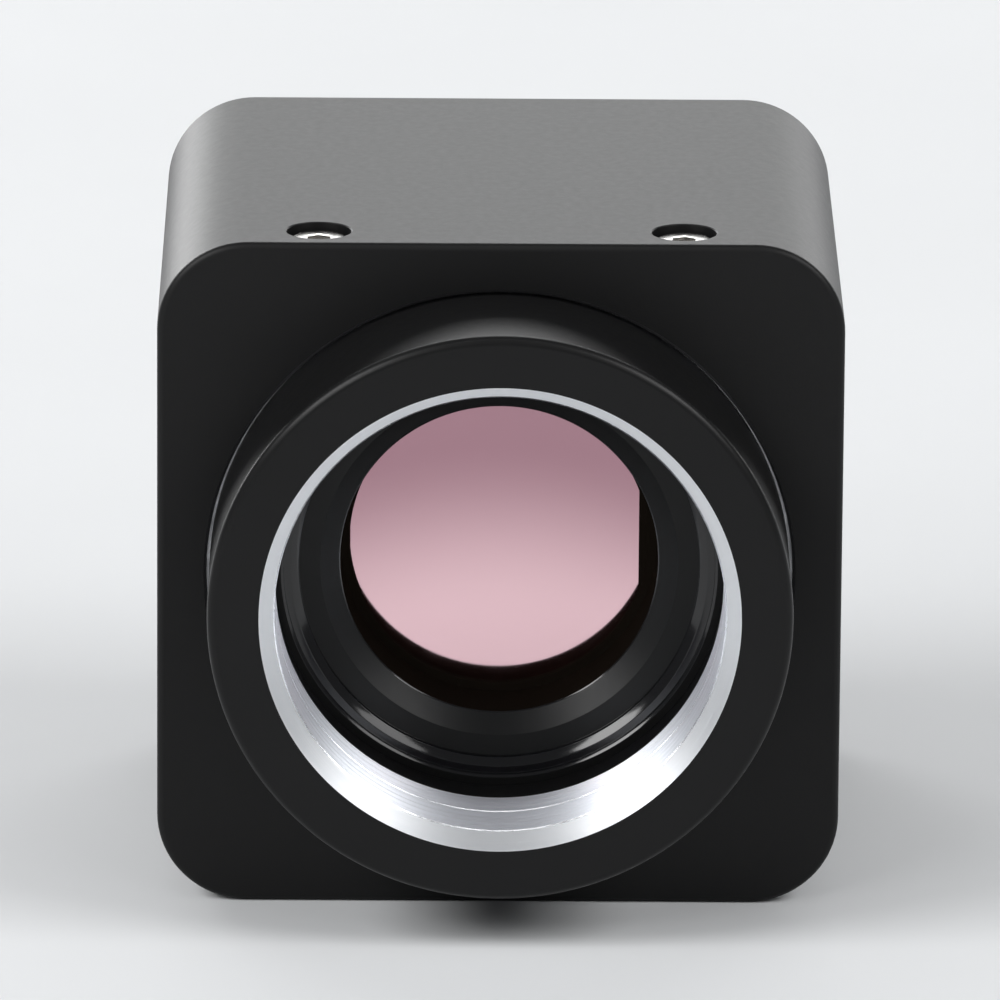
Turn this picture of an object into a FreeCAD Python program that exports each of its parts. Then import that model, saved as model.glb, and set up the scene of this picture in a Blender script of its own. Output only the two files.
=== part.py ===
import FreeCAD, Part
import math
import operator
import os
from types import SimpleNamespace

import Sketcher
from FreeCAD import Placement, Rotation, Vector

# A compact machine vision camera with a C-mount, without its lens.
#
# Millimetres. X points to the camera's side, Y back along the optical axis, Z up.
# The origin is the centre of the lens flange, the front face of the mount ring,
# so every depth along Y is a distance from the plane that a lens seats on.

SIZES = (
    # Housing: one machined body, open at the rear
    ("body_width", 38.0, "housing, side to side"),
    ("body_height", 38.0, "housing, base to top"),
    ("body_length", 33.0, "housing, front face to rear rim"),
    ("body_corner", 5.0, "outside corner radius"),
    ("body_edge", 0.4, "rounding of the front and rear outside edges"),
    ("front_wall", 1.2, "wall that the mount ring passes through"),
    ("side_wall", 2.4, "side and top walls"),
    ("base_wall", 3.6, "wall that carries the mounting holes"),
    ("cavity_corner", 9.0, "corner radius of the cavity, which leaves room for the cover screws"),
    # Screws of the housing
    ("screw_shank", 1.6, "diameter of the small screws"),
    ("screw_head", 3.0, "diameter of their pan heads"),
    ("screw_head_height", 0.8, "height of their pan heads"),
    ("front_grip", 1.1, "wall left under the heads of the front screws"),
    ("cover_grip", 0.8, "cover left under the heads of its screws"),
    ("screw_crown", 0.25, "bevel round the top of their pan heads"),
    ("screw_reach", 2.5, "length of thread beyond the wall"),
    ("sink_gap", 0.3, "round the heads of the front screws, in their sinkings"),
    ("cover_sink_gap", 0.1, "round the heads of the cover screws, in their sinkings"),
    ("front_screw_span", 20.2, "between the two top screws"),
    ("front_screw_setback", 2.9, "front face to the front screws"),
    ("cover_screw_inset", 3.8, "outside of the housing to the rear cover's screws, both ways"),
    # Mounting holes in the base
    ("base_hole", 2.5, "tapping diameter of the base holes"),
    ("base_hole_depth", 3.0, "depth of the base holes"),
    ("base_hole_span", 20.0, "between the base holes, across"),
    ("base_hole_pitch", 15.0, "between the base holes, along the axis"),
    ("base_hole_setback", 9.2, "front face to the first pair of base holes"),
    # Lens mount ring
    ("ring_diameter", 32.2, "outside of the mount ring"),
    ("ring_height", 8.8, "flange face to the housing's front face"),
    ("ring_edge", 0.5, "rounding of the ring's front edge"),
    ("ring_gap", 0.17, "between the ring and the front wall, all round"),
    ("mouth_step", 0.83, "lead-in chamfer, outwards from the thread"),
    ("mouth_depth", 1.17, "depth of the lead-in chamfer"),
    ("thread_bore", 24.8, "crests of the 1 inch, 32 turns per inch thread"),
    ("thread_depth", 7.25, "flange face to the end of the thread"),
    ("relief_step", 0.2, "relief behind the thread, outwards from its crests"),
    ("clamp_step", 0.4, "shoulder of the ring that holds the filter holder"),
    ("spigot_wall", 1.0, "wall of the spigot that screws into the block"),
    ("spigot_length", 2.6, "length of the spigot"),
    ("shim_thickness", 0.2, "focus shim between ring and block"),
    # Filter holder
    ("holder_flange_length", 2.4, "thickness of the holder's flange"),
    ("holder_rise", 0.2, "inner face of the front wall to the holder's rim"),
    ("holder_rim", 1.0, "rim round the recess in the holder's flange"),
    ("holder_recess_depth", 1.0, "depth of the recess"),
    ("tube_wall", 1.25, "wall of the tube round the filter"),
    ("cone_step", 1.13, "countersink, outwards from the bore"),
    ("cone_depth", 0.9, "depth of the countersink"),
    ("holder_bore", 17.7, "bore in front of the filter"),
    ("window_step", 0.5, "round window in front of the filter, inwards from the bore"),
    ("window_flat", 0.325, "how far each flat behind the round window cuts into it"),
    ("window_shift", 0.175, "middle of the two flats to the left of the optical axis"),
    ("window_ledge", 0.5, "thickness of the ledges that the filter lies on"),
    # Filter and sensor
    ("filter_lap", 0.85, "infrared-cut filter, outwards from the bore"),
    ("filter_thickness", 0.5, "infrared-cut filter"),
    ("filter_gap", 0.1, "filter to the sensor's cover glass"),
    ("flange_focal", 17.526, "flange to image plane in air"),
    ("glass_index", 1.52, "refractive index of the filter and the cover glass"),
    ("glass_thickness", 0.5, "sensor's cover glass"),
    ("die_gap", 0.3, "cover glass to the die's face"),
    ("die_width", 12.0, "sensor die, across"),
    ("die_height", 9.0, "sensor die, up"),
    ("die_thickness", 0.4, "sensor die"),
    ("die_margin", 0.5, "sensor die to the side of the package's well"),
    ("glass_land", 1.0, "cover glass beyond the package's well"),
    ("package_rim", 1.2, "package beyond the cover glass"),
    ("package_thickness", 1.9, "sensor package, rim to board"),
    ("gasket_inset", 0.2, "gasket inside the package's outline"),
    ("gasket_corner", 1.0, "corner radius of the gasket"),
    # Board stack
    ("board_thickness", 1.2, "all three boards"),
    ("board_margin", 0.6, "boards to the cavity's walls"),
    ("board_hole_gap", 0.1, "round the studs in the boards"),
    ("stack_width", 22.0, "between the stack's spacers, across"),
    ("stack_height", 20.0, "between the stack's spacers, up"),
    ("stud_diameter", 2.0, "studs of the spacers and the board screws"),
    ("spacer_flats", 3.5, "across the flats of the spacers"),
    ("front_spacer", 5.0, "sensor board to processor board"),
    ("middle_spacer", 2.4, "processor board to heat spreader"),
    ("rear_spacer", 3.0, "heat spreader to interface board"),
    ("post_diameter", 4.2, "posts on the mount block"),
    ("front_stud_grip", 2.5, "stud of the front spacers in the posts"),
    ("stack_stud_grip", 1.5, "the other studs in the spacer before them"),
    ("stud_bottom", 0.3, "hole left beyond the end of a stud"),
    ("board_screw_head", 3.8, "pan heads of the board screws"),
    ("board_screw_height", 1.3, "pan heads of the board screws"),
    ("connector_end", 3.2, "middle of a spacer to the end of a board-to-board connector"),
    ("connector_width", 4.6, "board-to-board connectors"),
    ("top_connector_inset", 5.6, "roof of the cavity to the sensor connector's middle"),
    ("base_connector_inset", 4.4, "floor of the cavity to the link connector's middle"),
    ("connector_wall", 1.4, "wall round the slot of a socket"),
    ("tongue_length", 1.6, "plug's tongue in the socket"),
    ("plug_share", 0.4, "part of a connector's height that is the plug"),
    # Parts on the boards
    ("processor_side", 15.0, "processor chip, each way"),
    ("processor_rise", 1.6, "optical axis to the processor's middle"),
    ("pad_thickness", 1.0, "thermal pad"),
    ("pad_inset", 0.5, "thermal pad inside the processor's outline"),
    ("memory_width", 7.5, "memory chips, across"),
    ("memory_height", 9.0, "memory chips, up"),
    ("memory_thickness", 1.0, "memory chips"),
    ("memory_inset", 6.0, "middle of a spacer to the middle of a memory chip, across"),
    ("memory_drop", 5.5, "optical axis down to the memory chips"),
    ("interface_side", 9.0, "interface chip, each way"),
    ("interface_thickness", 0.9, "interface chip"),
    ("interface_offset", 6.0, "interface chip to the side of the axis"),
    ("inductor_side", 4.0, "power inductors, each way"),
    ("inductor_height", 2.0, "power inductors"),
    ("inductor_offset", 7.0, "inductors to the side of the axis"),
    ("inductor_span", 6.0, "between the two inductors"),
    # Heat spreader
    ("spreader_thickness", 1.0, "folded heat spreader"),
    ("spreader_lip", 3.2, "length of the lip along the roof"),
    # Rear cover
    ("cover_thickness", 1.8, "rear cover"),
    ("cover_rim", 1.2, "wall left beside the rear cover"),
    ("cover_recess", 0.2, "rear cover below the rear rim"),
    # USB socket
    ("usb_width", 12.25, "mouth of the socket"),
    ("usb_height", 1.85, "mouth of the socket"),
    ("usb_waist", 0.1, "notch under the step between the socket's two parts"),
    ("usb_step", 0.725, "slope at the sides of the micro-B part"),
    ("usb_split", 6.9, "width of the micro-B part"),
    ("usb_wall", 0.3, "sheet of the shell"),
    ("usb_drop", 8.5, "optical axis down to the socket"),
    ("usb_proud", 0.3, "shell beyond the cover's face"),
    ("usb_tongue_height", 0.6, "thickness of the contact tongues"),
    ("usb_tongue_rise", 0.46, "tongues above the middle of the mouth"),
    ("usb_tongue_gap", 0.725, "tongues to the sides of the mouth"),
    ("usb_tongue_inset", 1.0, "tongues below the mouth"),
    ("usb_base", 2.0, "moulded base behind the tongues"),
    ("usb_lock_span", 18.0, "between the cable's lock screws"),
    ("usb_lock_hole", 1.6, "tapping diameter for the lock screws"),
    # Power and trigger socket
    ("io_offset", 6.5, "socket to the side of the axis"),
    ("io_rise", 6.5, "socket above the axis"),
    ("io_nose", 8.2, "nose that the plug slides over"),
    ("io_nose_length", 3.4, "nose beyond the flange"),
    ("io_nose_wall", 0.6, "wall of the nose"),
    ("io_barrel_step", 0.4, "threaded barrel through the cover, outwards from the nose"),
    ("io_flange_step", 1.3, "flange outside the cover, outwards from the barrel"),
    ("io_flange_thickness", 1.0, "flange outside the cover"),
    ("io_tail", 2.0, "barrel behind the cover"),
    ("io_key_width", 1.2, "keyway in the bore"),
    ("io_key_depth", 0.3, "keyway in the bore"),
    ("io_insert_setback", 3.6, "rear face of the insert from the barrel's mouth"),
    ("io_pin", 0.5, "pin diameter"),
    ("io_pin_circle", 4.4, "circle of the pins"),
    ("io_pin_reach", 2.6, "pins beyond the insert"),
    ("io_nut_flats", 11.0, "across the flats of the nut"),
    ("io_nut_thickness", 1.6, "nut inside the cover"),
    # Status light
    ("light_inset", 3.0, "middle of a spacer to the light, across"),
    ("light_rise", 8.5, "light above the axis"),
    ("light_diameter", 2.0, "light pipe"),
    ("light_collar_step", 0.5, "collar behind the cover, outwards from the pipe"),
    ("light_collar_length", 1.0, "collar behind the cover"),
    ("light_gap", 0.2, "light pipe to the diode"),
    ("led_length", 1.6, "light-emitting diode"),
    ("led_width", 0.9, "light-emitting diode"),
    ("led_height", 0.8, "light-emitting diode"),
    # Clearances
    ("slip_fit", 0.05, "turned and milled parts that slide together, each side"),
    ("thread_fit", 0.02, "between mating threads, each side"),
    ("panel_fit", 0.2, "round what passes through the rear cover, each side"),
)

PIN_COUNT = 6
HEX_SOCKET = 0.4
NEAR = 1e-4
HEX_DEPTH = 0.35
HEX_POINT = 1 / math.sqrt(3)


# Sizes: each is held as a number and as the sheet expression that gives it -------------

class Size:
    """A length that is both a number and the expression that a feature is bound to."""

    def __init__(self, number, text):
        self.number = number
        self.text = text

    def __add__(self, other):
        return combine(self, "+", other)

    def __radd__(self, other):
        return combine(other, "+", self)

    def __sub__(self, other):
        return combine(self, "-", other)

    def __rsub__(self, other):
        return combine(other, "-", self)

    def __mul__(self, other):
        return combine(self, "*", other)

    def __rmul__(self, other):
        return combine(other, "*", self)

    def __truediv__(self, other):
        return combine(self, "/", other)

    def __rtruediv__(self, other):
        return combine(other, "/", self)

    def __neg__(self):
        return combine(0, "-", self)


OPERATIONS = {
    "+": operator.add,
    "-": operator.sub,
    "*": operator.mul,
    "/": operator.truediv,
}


def as_size(value):
    return value if isinstance(value, Size) else Size(float(value), repr(value))


def combine(left, symbol, right):
    left = as_size(left)
    right = as_size(right)
    number = OPERATIONS[symbol](left.number, right.number)
    return Size(number, "(%s %s %s)" % (left.text, symbol, right.text))


def make_sheet(document):
    sheet = document.addObject("Spreadsheet::Sheet", "Sizes")
    for row, (alias, value, meaning) in enumerate(SIZES, start=1):
        sheet.set("A%d" % row, meaning)
        sheet.set("B%d" % row, str(value))
        sheet.setAlias("B%d" % row, alias)
    document.recompute()
    return sheet


doc = FreeCAD.newDocument("MachineVisionCamera")
sizes_sheet = make_sheet(doc)
size = SimpleNamespace(**{
    alias: Size(float(sizes_sheet.get(alias)), "Sizes." + alias) for alias, _, _ in SIZES
})

# Depths along the optical axis, front to back
front_face = size.ring_height
front_wall_back = front_face + size.front_wall
ring_seat = front_wall_back - size.shim_thickness
holder_front = front_wall_back + size.holder_rise
holder_floor = holder_front + size.holder_recess_depth
cone_end = holder_floor + size.cone_depth
holder_seat = holder_front + size.holder_flange_length
glass_delay = (size.filter_thickness + size.glass_thickness) * (1 - 1 / size.glass_index)
image_plane = size.flange_focal + glass_delay
rim_plane = image_plane - size.die_gap
glass_front = rim_plane - size.glass_thickness
filter_back = glass_front - size.filter_gap
filter_front = filter_back - size.filter_thickness
ledge_front = filter_front - size.window_ledge
die_back = image_plane + size.die_thickness
sensor_board_front = rim_plane + size.package_thickness
sensor_board_back = sensor_board_front + size.board_thickness
processor_board_front = sensor_board_back + size.front_spacer
processor_board_back = processor_board_front + size.board_thickness
spreader_front = processor_board_back + size.middle_spacer
spreader_back = spreader_front + size.spreader_thickness
interface_board_front = spreader_back + size.rear_spacer
interface_board_back = interface_board_front + size.board_thickness
rear_rim = front_face + size.body_length
cover_back = rear_rim - size.cover_recess
cover_front = cover_back - size.cover_thickness

# Radii of the lens mount and the filter holder, each counted from the thread or the bore
thread_crest = size.thread_bore / 2
relief_radius = thread_crest + size.relief_step
flange_radius = relief_radius + size.clamp_step
spigot_radius = flange_radius + size.slip_fit + size.spigot_wall
recess_radius = flange_radius - size.holder_rim
bore_radius = size.holder_bore / 2
window_radius = bore_radius - size.window_step
filter_radius = bore_radius + size.filter_lap
pocket_radius = filter_radius + size.slip_fit
tube_radius = pocket_radius + size.tube_wall

# The sensor, from the die outwards
well_width = size.die_width + 2 * size.die_margin
well_height = size.die_height + 2 * size.die_margin
glass_width = well_width + 2 * size.glass_land
glass_height = well_height + 2 * size.glass_land
package_width = glass_width + 2 * size.package_rim
package_height = glass_height + 2 * size.package_rim

# Heights and half widths of the cavity
half_width = size.body_width / 2
half_height = size.body_height / 2
cavity_side = half_width - size.side_wall
cavity_top = half_height - size.side_wall
cavity_base = size.base_wall - half_height
front_screw_depth = front_face + size.front_screw_setback
screw_hole = size.screw_shank / 2 + size.thread_fit
stud_hole = size.stud_diameter / 2 + size.thread_fit
board_hole = size.stud_diameter / 2 + size.board_hole_gap
io_barrel = size.io_nose / 2 + size.io_barrel_step
io_bore = size.io_nose / 2 - size.io_nose_wall


# Sketch helpers ----------------------------------------------------------------------

def bind_constraint(sketch, constraint, value):
    """Adds a dimensional constraint and ties it to the expression of its size."""
    index = sketch.addConstraint(constraint)
    if isinstance(value, Size):
        sketch.setExpression("Constraints[%d]" % index, value.text)


def hold_point(sketch, geometry, point, place):
    """Holds one point of a sketch at two sizes measured from the sketch's origin."""
    across, up = place
    for kind, value in (("DistanceX", across), ("DistanceY", up)):
        number = as_size(value).number
        bind_constraint(sketch, Sketcher.Constraint(kind, -1, 1, geometry, point, number), value)


def flat_vector(place):
    return Vector(as_size(place[0]).number, as_size(place[1]).number, 0)


def outline(*corners):
    """A closed outline of straight lines through the corners."""
    def draw(sketch):
        points = [flat_vector(corner) for corner in corners]
        first = sketch.GeometryCount
        for start, end in zip(points, points[1:] + points[:1]):
            sketch.addGeometry(Part.LineSegment(start, end), False)
        for index, corner in enumerate(corners):
            previous = first + (index - 1) % len(corners)
            sketch.addConstraint(Sketcher.Constraint("Coincident", previous, 2, first + index, 1))
            hold_point(sketch, first + index, 1, corner)
    return draw


def rectangle(left, right, bottom, top):
    return outline((left, bottom), (right, bottom), (right, top), (left, top))


def block_at(centre, width, height):
    """A rectangle of a given width and height about a centre."""
    across, up = centre
    return rectangle(across - width / 2, across + width / 2, up - height / 2, up + height / 2)


def hexagon(flats):
    """A hexagon about the origin, given across its flats."""
    point = flats * HEX_POINT
    return outline(
        (point, 0), (point / 2, flats / 2), (-point / 2, flats / 2),
        (-point, 0), (-point / 2, -flats / 2), (point / 2, -flats / 2),
    )


def circles(radius, *centres):
    """Equal circles about the given centres."""
    def draw(sketch):
        for centre in centres:
            circle = Part.Circle(flat_vector(centre), Vector(0, 0, 1), as_size(radius).number)
            index = sketch.addGeometry(circle, False)
            hold_point(sketch, index, 3, centre)
            bind_constraint(sketch, Sketcher.Constraint("Radius", index, as_size(radius).number), radius)
    return draw


def rounded_rectangle(left, right, bottom, top, radius):
    """A rectangle whose four corners are tangent arcs of one radius."""
    centres = (
        (right - radius, top - radius),
        (left + radius, top - radius),
        (left + radius, bottom + radius),
        (right - radius, bottom + radius),
    )

    def draw(sketch):
        first = sketch.GeometryCount
        reach = as_size(radius).number
        for quarter, centre in enumerate(centres):
            start = quarter * math.pi / 2
            circle = Part.Circle(flat_vector(centre), Vector(0, 0, 1), reach)
            sketch.addGeometry(Part.ArcOfCircle(circle, start, start + math.pi / 2), False)
        for quarter in range(4):
            arc = sketch.Geometry[first + quarter]
            following = sketch.Geometry[first + (quarter + 1) % 4]
            sketch.addGeometry(Part.LineSegment(arc.EndPoint, following.StartPoint), False)
        for quarter, centre in enumerate(centres):
            arc = first + quarter
            line = first + 4 + quarter
            following = first + (quarter + 1) % 4
            sketch.addConstraint(Sketcher.Constraint("Tangent", arc, 2, line, 1))
            sketch.addConstraint(Sketcher.Constraint("Tangent", line, 2, following, 1))
            hold_point(sketch, arc, 3, centre)
            bind_constraint(sketch, Sketcher.Constraint("Radius", arc, reach), radius)
    return draw


def window_outline(radius, left, right):
    """A circle about the optical axis, cut straight at its left and right."""
    def draw(sketch):
        reach = as_size(radius).number
        sides = (as_size(right).number, as_size(left).number)
        circle = Part.Circle(Vector(0, 0, 0), Vector(0, 0, 1), reach)
        right_angle = math.acos(sides[0] / reach)
        left_angle = math.acos(sides[1] / reach)
        top = sketch.addGeometry(Part.ArcOfCircle(circle, right_angle, left_angle), False)
        turn = 2 * math.pi
        bottom = sketch.addGeometry(Part.ArcOfCircle(circle, turn - left_angle, turn - right_angle), False)
        top_arc, bottom_arc = sketch.Geometry[top], sketch.Geometry[bottom]
        left_line = sketch.addGeometry(Part.LineSegment(top_arc.EndPoint, bottom_arc.StartPoint), False)
        right_line = sketch.addGeometry(Part.LineSegment(bottom_arc.EndPoint, top_arc.StartPoint), False)
        for arc in (top, bottom):
            sketch.addConstraint(Sketcher.Constraint("Coincident", arc, 3, -1, 1))
            bind_constraint(sketch, Sketcher.Constraint("Radius", arc, reach), radius)
        for one, other in ((top, left_line), (left_line, bottom), (bottom, right_line), (right_line, top)):
            sketch.addConstraint(Sketcher.Constraint("Coincident", one, 2, other, 1))
        for line, place in ((left_line, left), (right_line, right)):
            sketch.addConstraint(Sketcher.Constraint("Vertical", line))
            number = as_size(place).number
            bind_constraint(sketch, Sketcher.Constraint("DistanceX", -1, 1, line, 1, number), place)
    return draw


# Body helpers ------------------------------------------------------------------------

def new_body(label):
    body = doc.addObject("PartDesign::Body", label)
    body.Label = label
    return body


def new_sketch(body, role, level, *drawings):
    """A sketch on one of the body's own origin planes, moved along the plane's normal."""
    plane = next(item for item in body.Origin.OriginFeatures if item.Role == role)
    sketch = body.newObject("Sketcher::SketchObject", body.Name + "_sketch")
    sketch.AttachmentSupport = [(plane, "")]
    sketch.MapMode = "FlatFace"
    level = as_size(level)
    sketch.AttachmentOffset = Placement(Vector(0, 0, level.number), Rotation())
    sketch.setExpression("AttachmentOffset.Base.z", level.text)
    for draw in drawings:
        draw(sketch)
    return sketch


def set_length(feature, name, value):
    setattr(feature, name, as_size(value).number)
    feature.setExpression(name, as_size(value).text)


def extrude(body, kind, sketch, length, reverse=False):
    feature = body.newObject(kind, body.Name + "_feature")
    feature.Profile = sketch
    feature.Reversed = reverse
    set_length(feature, "Length", length)
    sketch.Visibility = False
    return feature


def add(body, front, back, *drawings):
    """Adds material between two depths along the optical axis."""
    sketch = new_sketch(body, "XZ_Plane", -as_size(back), *drawings)
    return extrude(body, "PartDesign::Pad", sketch, back - front)


def cut(body, front, back, *drawings):
    """Removes material between two depths along the optical axis."""
    sketch = new_sketch(body, "XZ_Plane", -as_size(front), *drawings)
    return extrude(body, "PartDesign::Pocket", sketch, back - front)


def cut_down(body, top, depth, *drawings):
    """Removes material downwards from a height."""
    sketch = new_sketch(body, "XY_Plane", top, *drawings)
    return extrude(body, "PartDesign::Pocket", sketch, depth)


def cut_up(body, bottom, depth, *drawings):
    """Removes material upwards from a height."""
    sketch = new_sketch(body, "XY_Plane", bottom, *drawings)
    return extrude(body, "PartDesign::Pocket", sketch, depth, reverse=True)


def turn(body, *corners):
    """Turns a profile of radius and depth pairs about the optical axis."""
    sketch = new_sketch(body, "XY_Plane", 0, outline(*corners))
    feature = body.newObject("PartDesign::Revolution", body.Name + "_turned")
    feature.Profile = sketch
    feature.ReferenceAxis = (sketch, ["V_Axis"])
    feature.Angle = 360
    sketch.Visibility = False
    return feature


def round_edges(body, radius, chosen):
    """Rounds those edges of the body's last feature that the test picks."""
    doc.recompute()
    base = body.Tip
    names = ["Edge%d" % (i + 1) for i, edge in enumerate(base.Shape.Edges) if chosen(edge)]
    fillet = body.newObject("PartDesign::Fillet", body.Name + "_rounding")
    fillet.Base = (base, names)
    set_length(fillet, "Radius", radius)
    return fillet


def place(body, across, up, depth=0, rotation=None):
    """Puts a body that was drawn about its own axis where it belongs."""
    values = (("x", across), ("y", depth), ("z", up))
    body.Placement = Placement(Vector(*(as_size(v).number for _, v in values)), rotation or Rotation())
    for axis, value in values:
        body.setExpression("Placement.Base." + axis, as_size(value).text)


def mirrored(source, normal, base=None):
    """The source's mirror image in a plane, which may stand off the origin."""
    image = doc.addObject("Part::Mirroring", source.Name + "_image")
    image.Source = source
    image.Normal = normal
    if base:
        image.setExpression("Base." + base[0], base[1].text)
    return image


def group(label, *members):
    compound = doc.addObject("Part::Compound", label)
    compound.Label = label
    compound.Links = list(members)
    return compound


def four_of(label, body):
    """A body and its images left, below, and left below."""
    pair = group(label + "_pair", body, mirrored(body, Vector(1, 0, 0)))
    return group(label, pair, mirrored(pair, Vector(0, 0, 1)))


def lies_at(edge, depth):
    """Whether an edge lies in one plane across the optical axis."""
    box = edge.BoundBox
    return abs(box.YMin - depth.number) < NEAR and abs(box.YMax - depth.number) < NEAR


def corners_of(across, up):
    """Four points, one in each quarter."""
    return ((across, up), (-across, up), (-across, -up), (across, -up))


front_screws_at = (
    (size.front_screw_span / 2, front_screw_depth),
    (-size.front_screw_span / 2, front_screw_depth),
)
cover_screw_place = (half_width - size.cover_screw_inset, half_height - size.cover_screw_inset)
cover_screws_at = corners_of(*cover_screw_place)
stack_place = (size.stack_width / 2, size.stack_height / 2)
stack_at = corners_of(*stack_place)
link_height = cavity_base + size.base_connector_inset
connector_length = size.stack_width - 2 * size.connector_end
light_place = (stack_place[0] - size.light_inset, size.light_rise)


# Housing and its cover ---------------------------------------------------------------

def cavity_outline(inset):
    """The cavity's cross-section, made smaller all round by an inset."""
    return rounded_rectangle(
        inset - cavity_side, cavity_side - inset,
        cavity_base + inset, cavity_top - inset,
        size.cavity_corner - inset,
    )


def cover_outline(inset):
    reach = size.cover_rim + inset
    return rounded_rectangle(
        reach - half_width, half_width - reach,
        reach - half_height, half_height - reach,
        size.body_corner - reach,
    )


def make_housing():
    body = new_body("housing")
    outside = rounded_rectangle(-half_width, half_width, -half_height, half_height, size.body_corner)
    add(body, front_face, rear_rim, outside)
    cut(body, front_wall_back, rear_rim, cavity_outline(0))
    cut(body, cover_front, rear_rim, cover_outline(0))
    ring_bore = circles(size.ring_diameter / 2 + size.ring_gap, (0, 0))
    cut(body, front_face, ring_seat + size.spigot_length, ring_bore)

    sinking = circles(size.screw_head / 2 + size.sink_gap, *front_screws_at)
    shanks = circles(screw_hole, *front_screws_at)
    cut_down(body, half_height, size.side_wall - size.front_grip, sinking)
    cut_down(body, half_height, size.side_wall + size.screw_reach, shanks)
    cut_up(body, -half_height, size.base_wall - size.front_grip, sinking)
    cut_up(body, -half_height, size.base_wall + size.screw_reach, shanks)

    first_row = front_face + size.base_hole_setback
    rows = (first_row, first_row + size.base_hole_pitch)
    holes = [(side * size.base_hole_span / 2, row) for side in (-1, 1) for row in rows]
    cut_up(body, -half_height, size.base_hole_depth, circles(size.base_hole / 2, *holes))

    tapped = circles(screw_hole, *cover_screws_at)
    cut(body, cover_front - size.screw_reach - size.stud_bottom, cover_front, tapped)

    bore_reach = size.ring_diameter.number / 2 + 2 * size.ring_gap.number

    def outer_edge(edge):
        reach = max(math.hypot(vertex.X, vertex.Z) for vertex in edge.Vertexes)
        return lies_at(edge, front_face) and reach > bore_reach

    round_edges(body, size.body_edge, outer_edge)

    def rim_edge(edge):
        corner = edge.Vertexes[0]
        beyond = max(abs(corner.X) - half_width.number, abs(corner.Z) - half_height.number)
        return lies_at(edge, rear_rim) and abs(beyond) < NEAR

    round_edges(body, size.body_edge, rim_edge)
    return body


def usb_outline(grow, drop=0):
    """The micro-B socket's outline: a part with sloped sides, and a plain part beside it."""
    side = size.usb_width / 2 + grow
    top = size.usb_height / 2 + grow
    slope = size.usb_step
    split = size.usb_split - size.usb_width / 2
    waist = size.usb_waist
    corners = (
        (-side, top), (-side, waist), (slope - side, -top),
        (split - slope + grow / 2, -top), (split + grow / 2, -waist - grow),
        (split + slope - grow / 2, -waist - grow), (split + slope - grow / 2, -top),
        (side, -top), (side, top),
    )
    return outline(*((across, up - drop) for across, up in corners))


def make_rear_cover():
    body = new_body("rear_cover")
    add(body, cover_front, cover_back, cover_outline(size.slip_fit))
    cut(body, cover_front, cover_back, circles(screw_hole, *cover_screws_at))
    sinking = circles(size.screw_head / 2 + size.cover_sink_gap, *cover_screws_at)
    cut(body, cover_front + size.cover_grip, cover_back, sinking)
    locks = [(side * size.usb_lock_span / 2, -size.usb_drop) for side in (-1, 1)]
    openings = (
        circles(io_barrel + size.thread_fit, (-size.io_offset, size.io_rise)),
        circles(size.light_diameter / 2 + size.thread_fit, light_place),
        usb_outline(size.usb_wall + size.panel_fit, size.usb_drop),
        circles(size.usb_lock_hole / 2, *locks),
    )
    for opening in openings:
        cut(body, cover_front, cover_back, opening)
    return body


def make_screw(label, head, head_height, shank, length):
    """A pan-head screw along Y, its head before the origin and its shank behind it."""
    body = new_body(label)
    crown = size.screw_crown
    turn(
        body,
        (0, -head_height), (head / 2 - crown, -head_height), (head / 2, crown - head_height),
        (head / 2, 0), (shank / 2, 0), (shank / 2, length), (0, length),
    )
    cut(body, -head_height, -head_height * HEX_DEPTH, hexagon(head * HEX_SOCKET))
    return body


def housing_screw(label, grip):
    """One of the housing's screws, long enough for the wall that it grips."""
    return make_screw(label, size.screw_head, size.screw_head_height, size.screw_shank,
                      grip + size.screw_reach)


def make_front_screws():
    """Two screws down through the top, and two up through the base."""
    screw = housing_screw("front_screw", size.front_grip)
    seat = cavity_top + size.front_grip
    down = Rotation(Vector(1, 0, 0), -90)
    place(screw, size.front_screw_span / 2, seat, front_screw_depth, down)
    pair = group("front_screw_pair", screw, mirrored(screw, Vector(1, 0, 0)))
    lower_seat = cavity_base - size.front_grip
    lower_pair = mirrored(pair, Vector(0, 0, 1), ("z", (seat + lower_seat) / 2))
    return group("front_screws", pair, lower_pair)


def make_cover_screws():
    """Four screws through the rear cover, their heads to the rear."""
    screw = housing_screw("rear_cover_screw", size.cover_grip)
    seat = cover_front + size.cover_grip
    place(screw, *cover_screw_place, seat, Rotation(Vector(1, 0, 0), 180))
    return four_of("rear_cover_screws", screw)


# Lens mount, filter and sensor -------------------------------------------------------

def make_mount_ring():
    """The turned ring that a lens screws into, with the spigot that holds it."""
    body = new_body("lens_mount_ring")
    ring = size.ring_diameter / 2
    spigot_bore = flange_radius + size.slip_fit
    spigot_end = ring_seat + size.spigot_length
    turn(
        body,
        (thread_crest + size.mouth_step, 0), (ring, 0), (ring, ring_seat), (spigot_radius, ring_seat),
        (spigot_radius, spigot_end), (spigot_bore, spigot_end), (spigot_bore, holder_front),
        (relief_radius, holder_front), (relief_radius, size.thread_depth),
        (thread_crest, size.thread_depth), (thread_crest, size.mouth_depth),
    )

    def front_edge(edge):
        return lies_at(edge, as_size(0)) and edge.BoundBox.XMax > ring.number - NEAR

    round_edges(body, size.ring_edge, front_edge)
    return body


def make_focus_shim():
    body = new_body("focus_shim")
    add(body, ring_seat, front_wall_back,
        circles(size.ring_diameter / 2, (0, 0)),
        circles(spigot_radius + size.slip_fit, (0, 0)))
    return body


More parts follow.
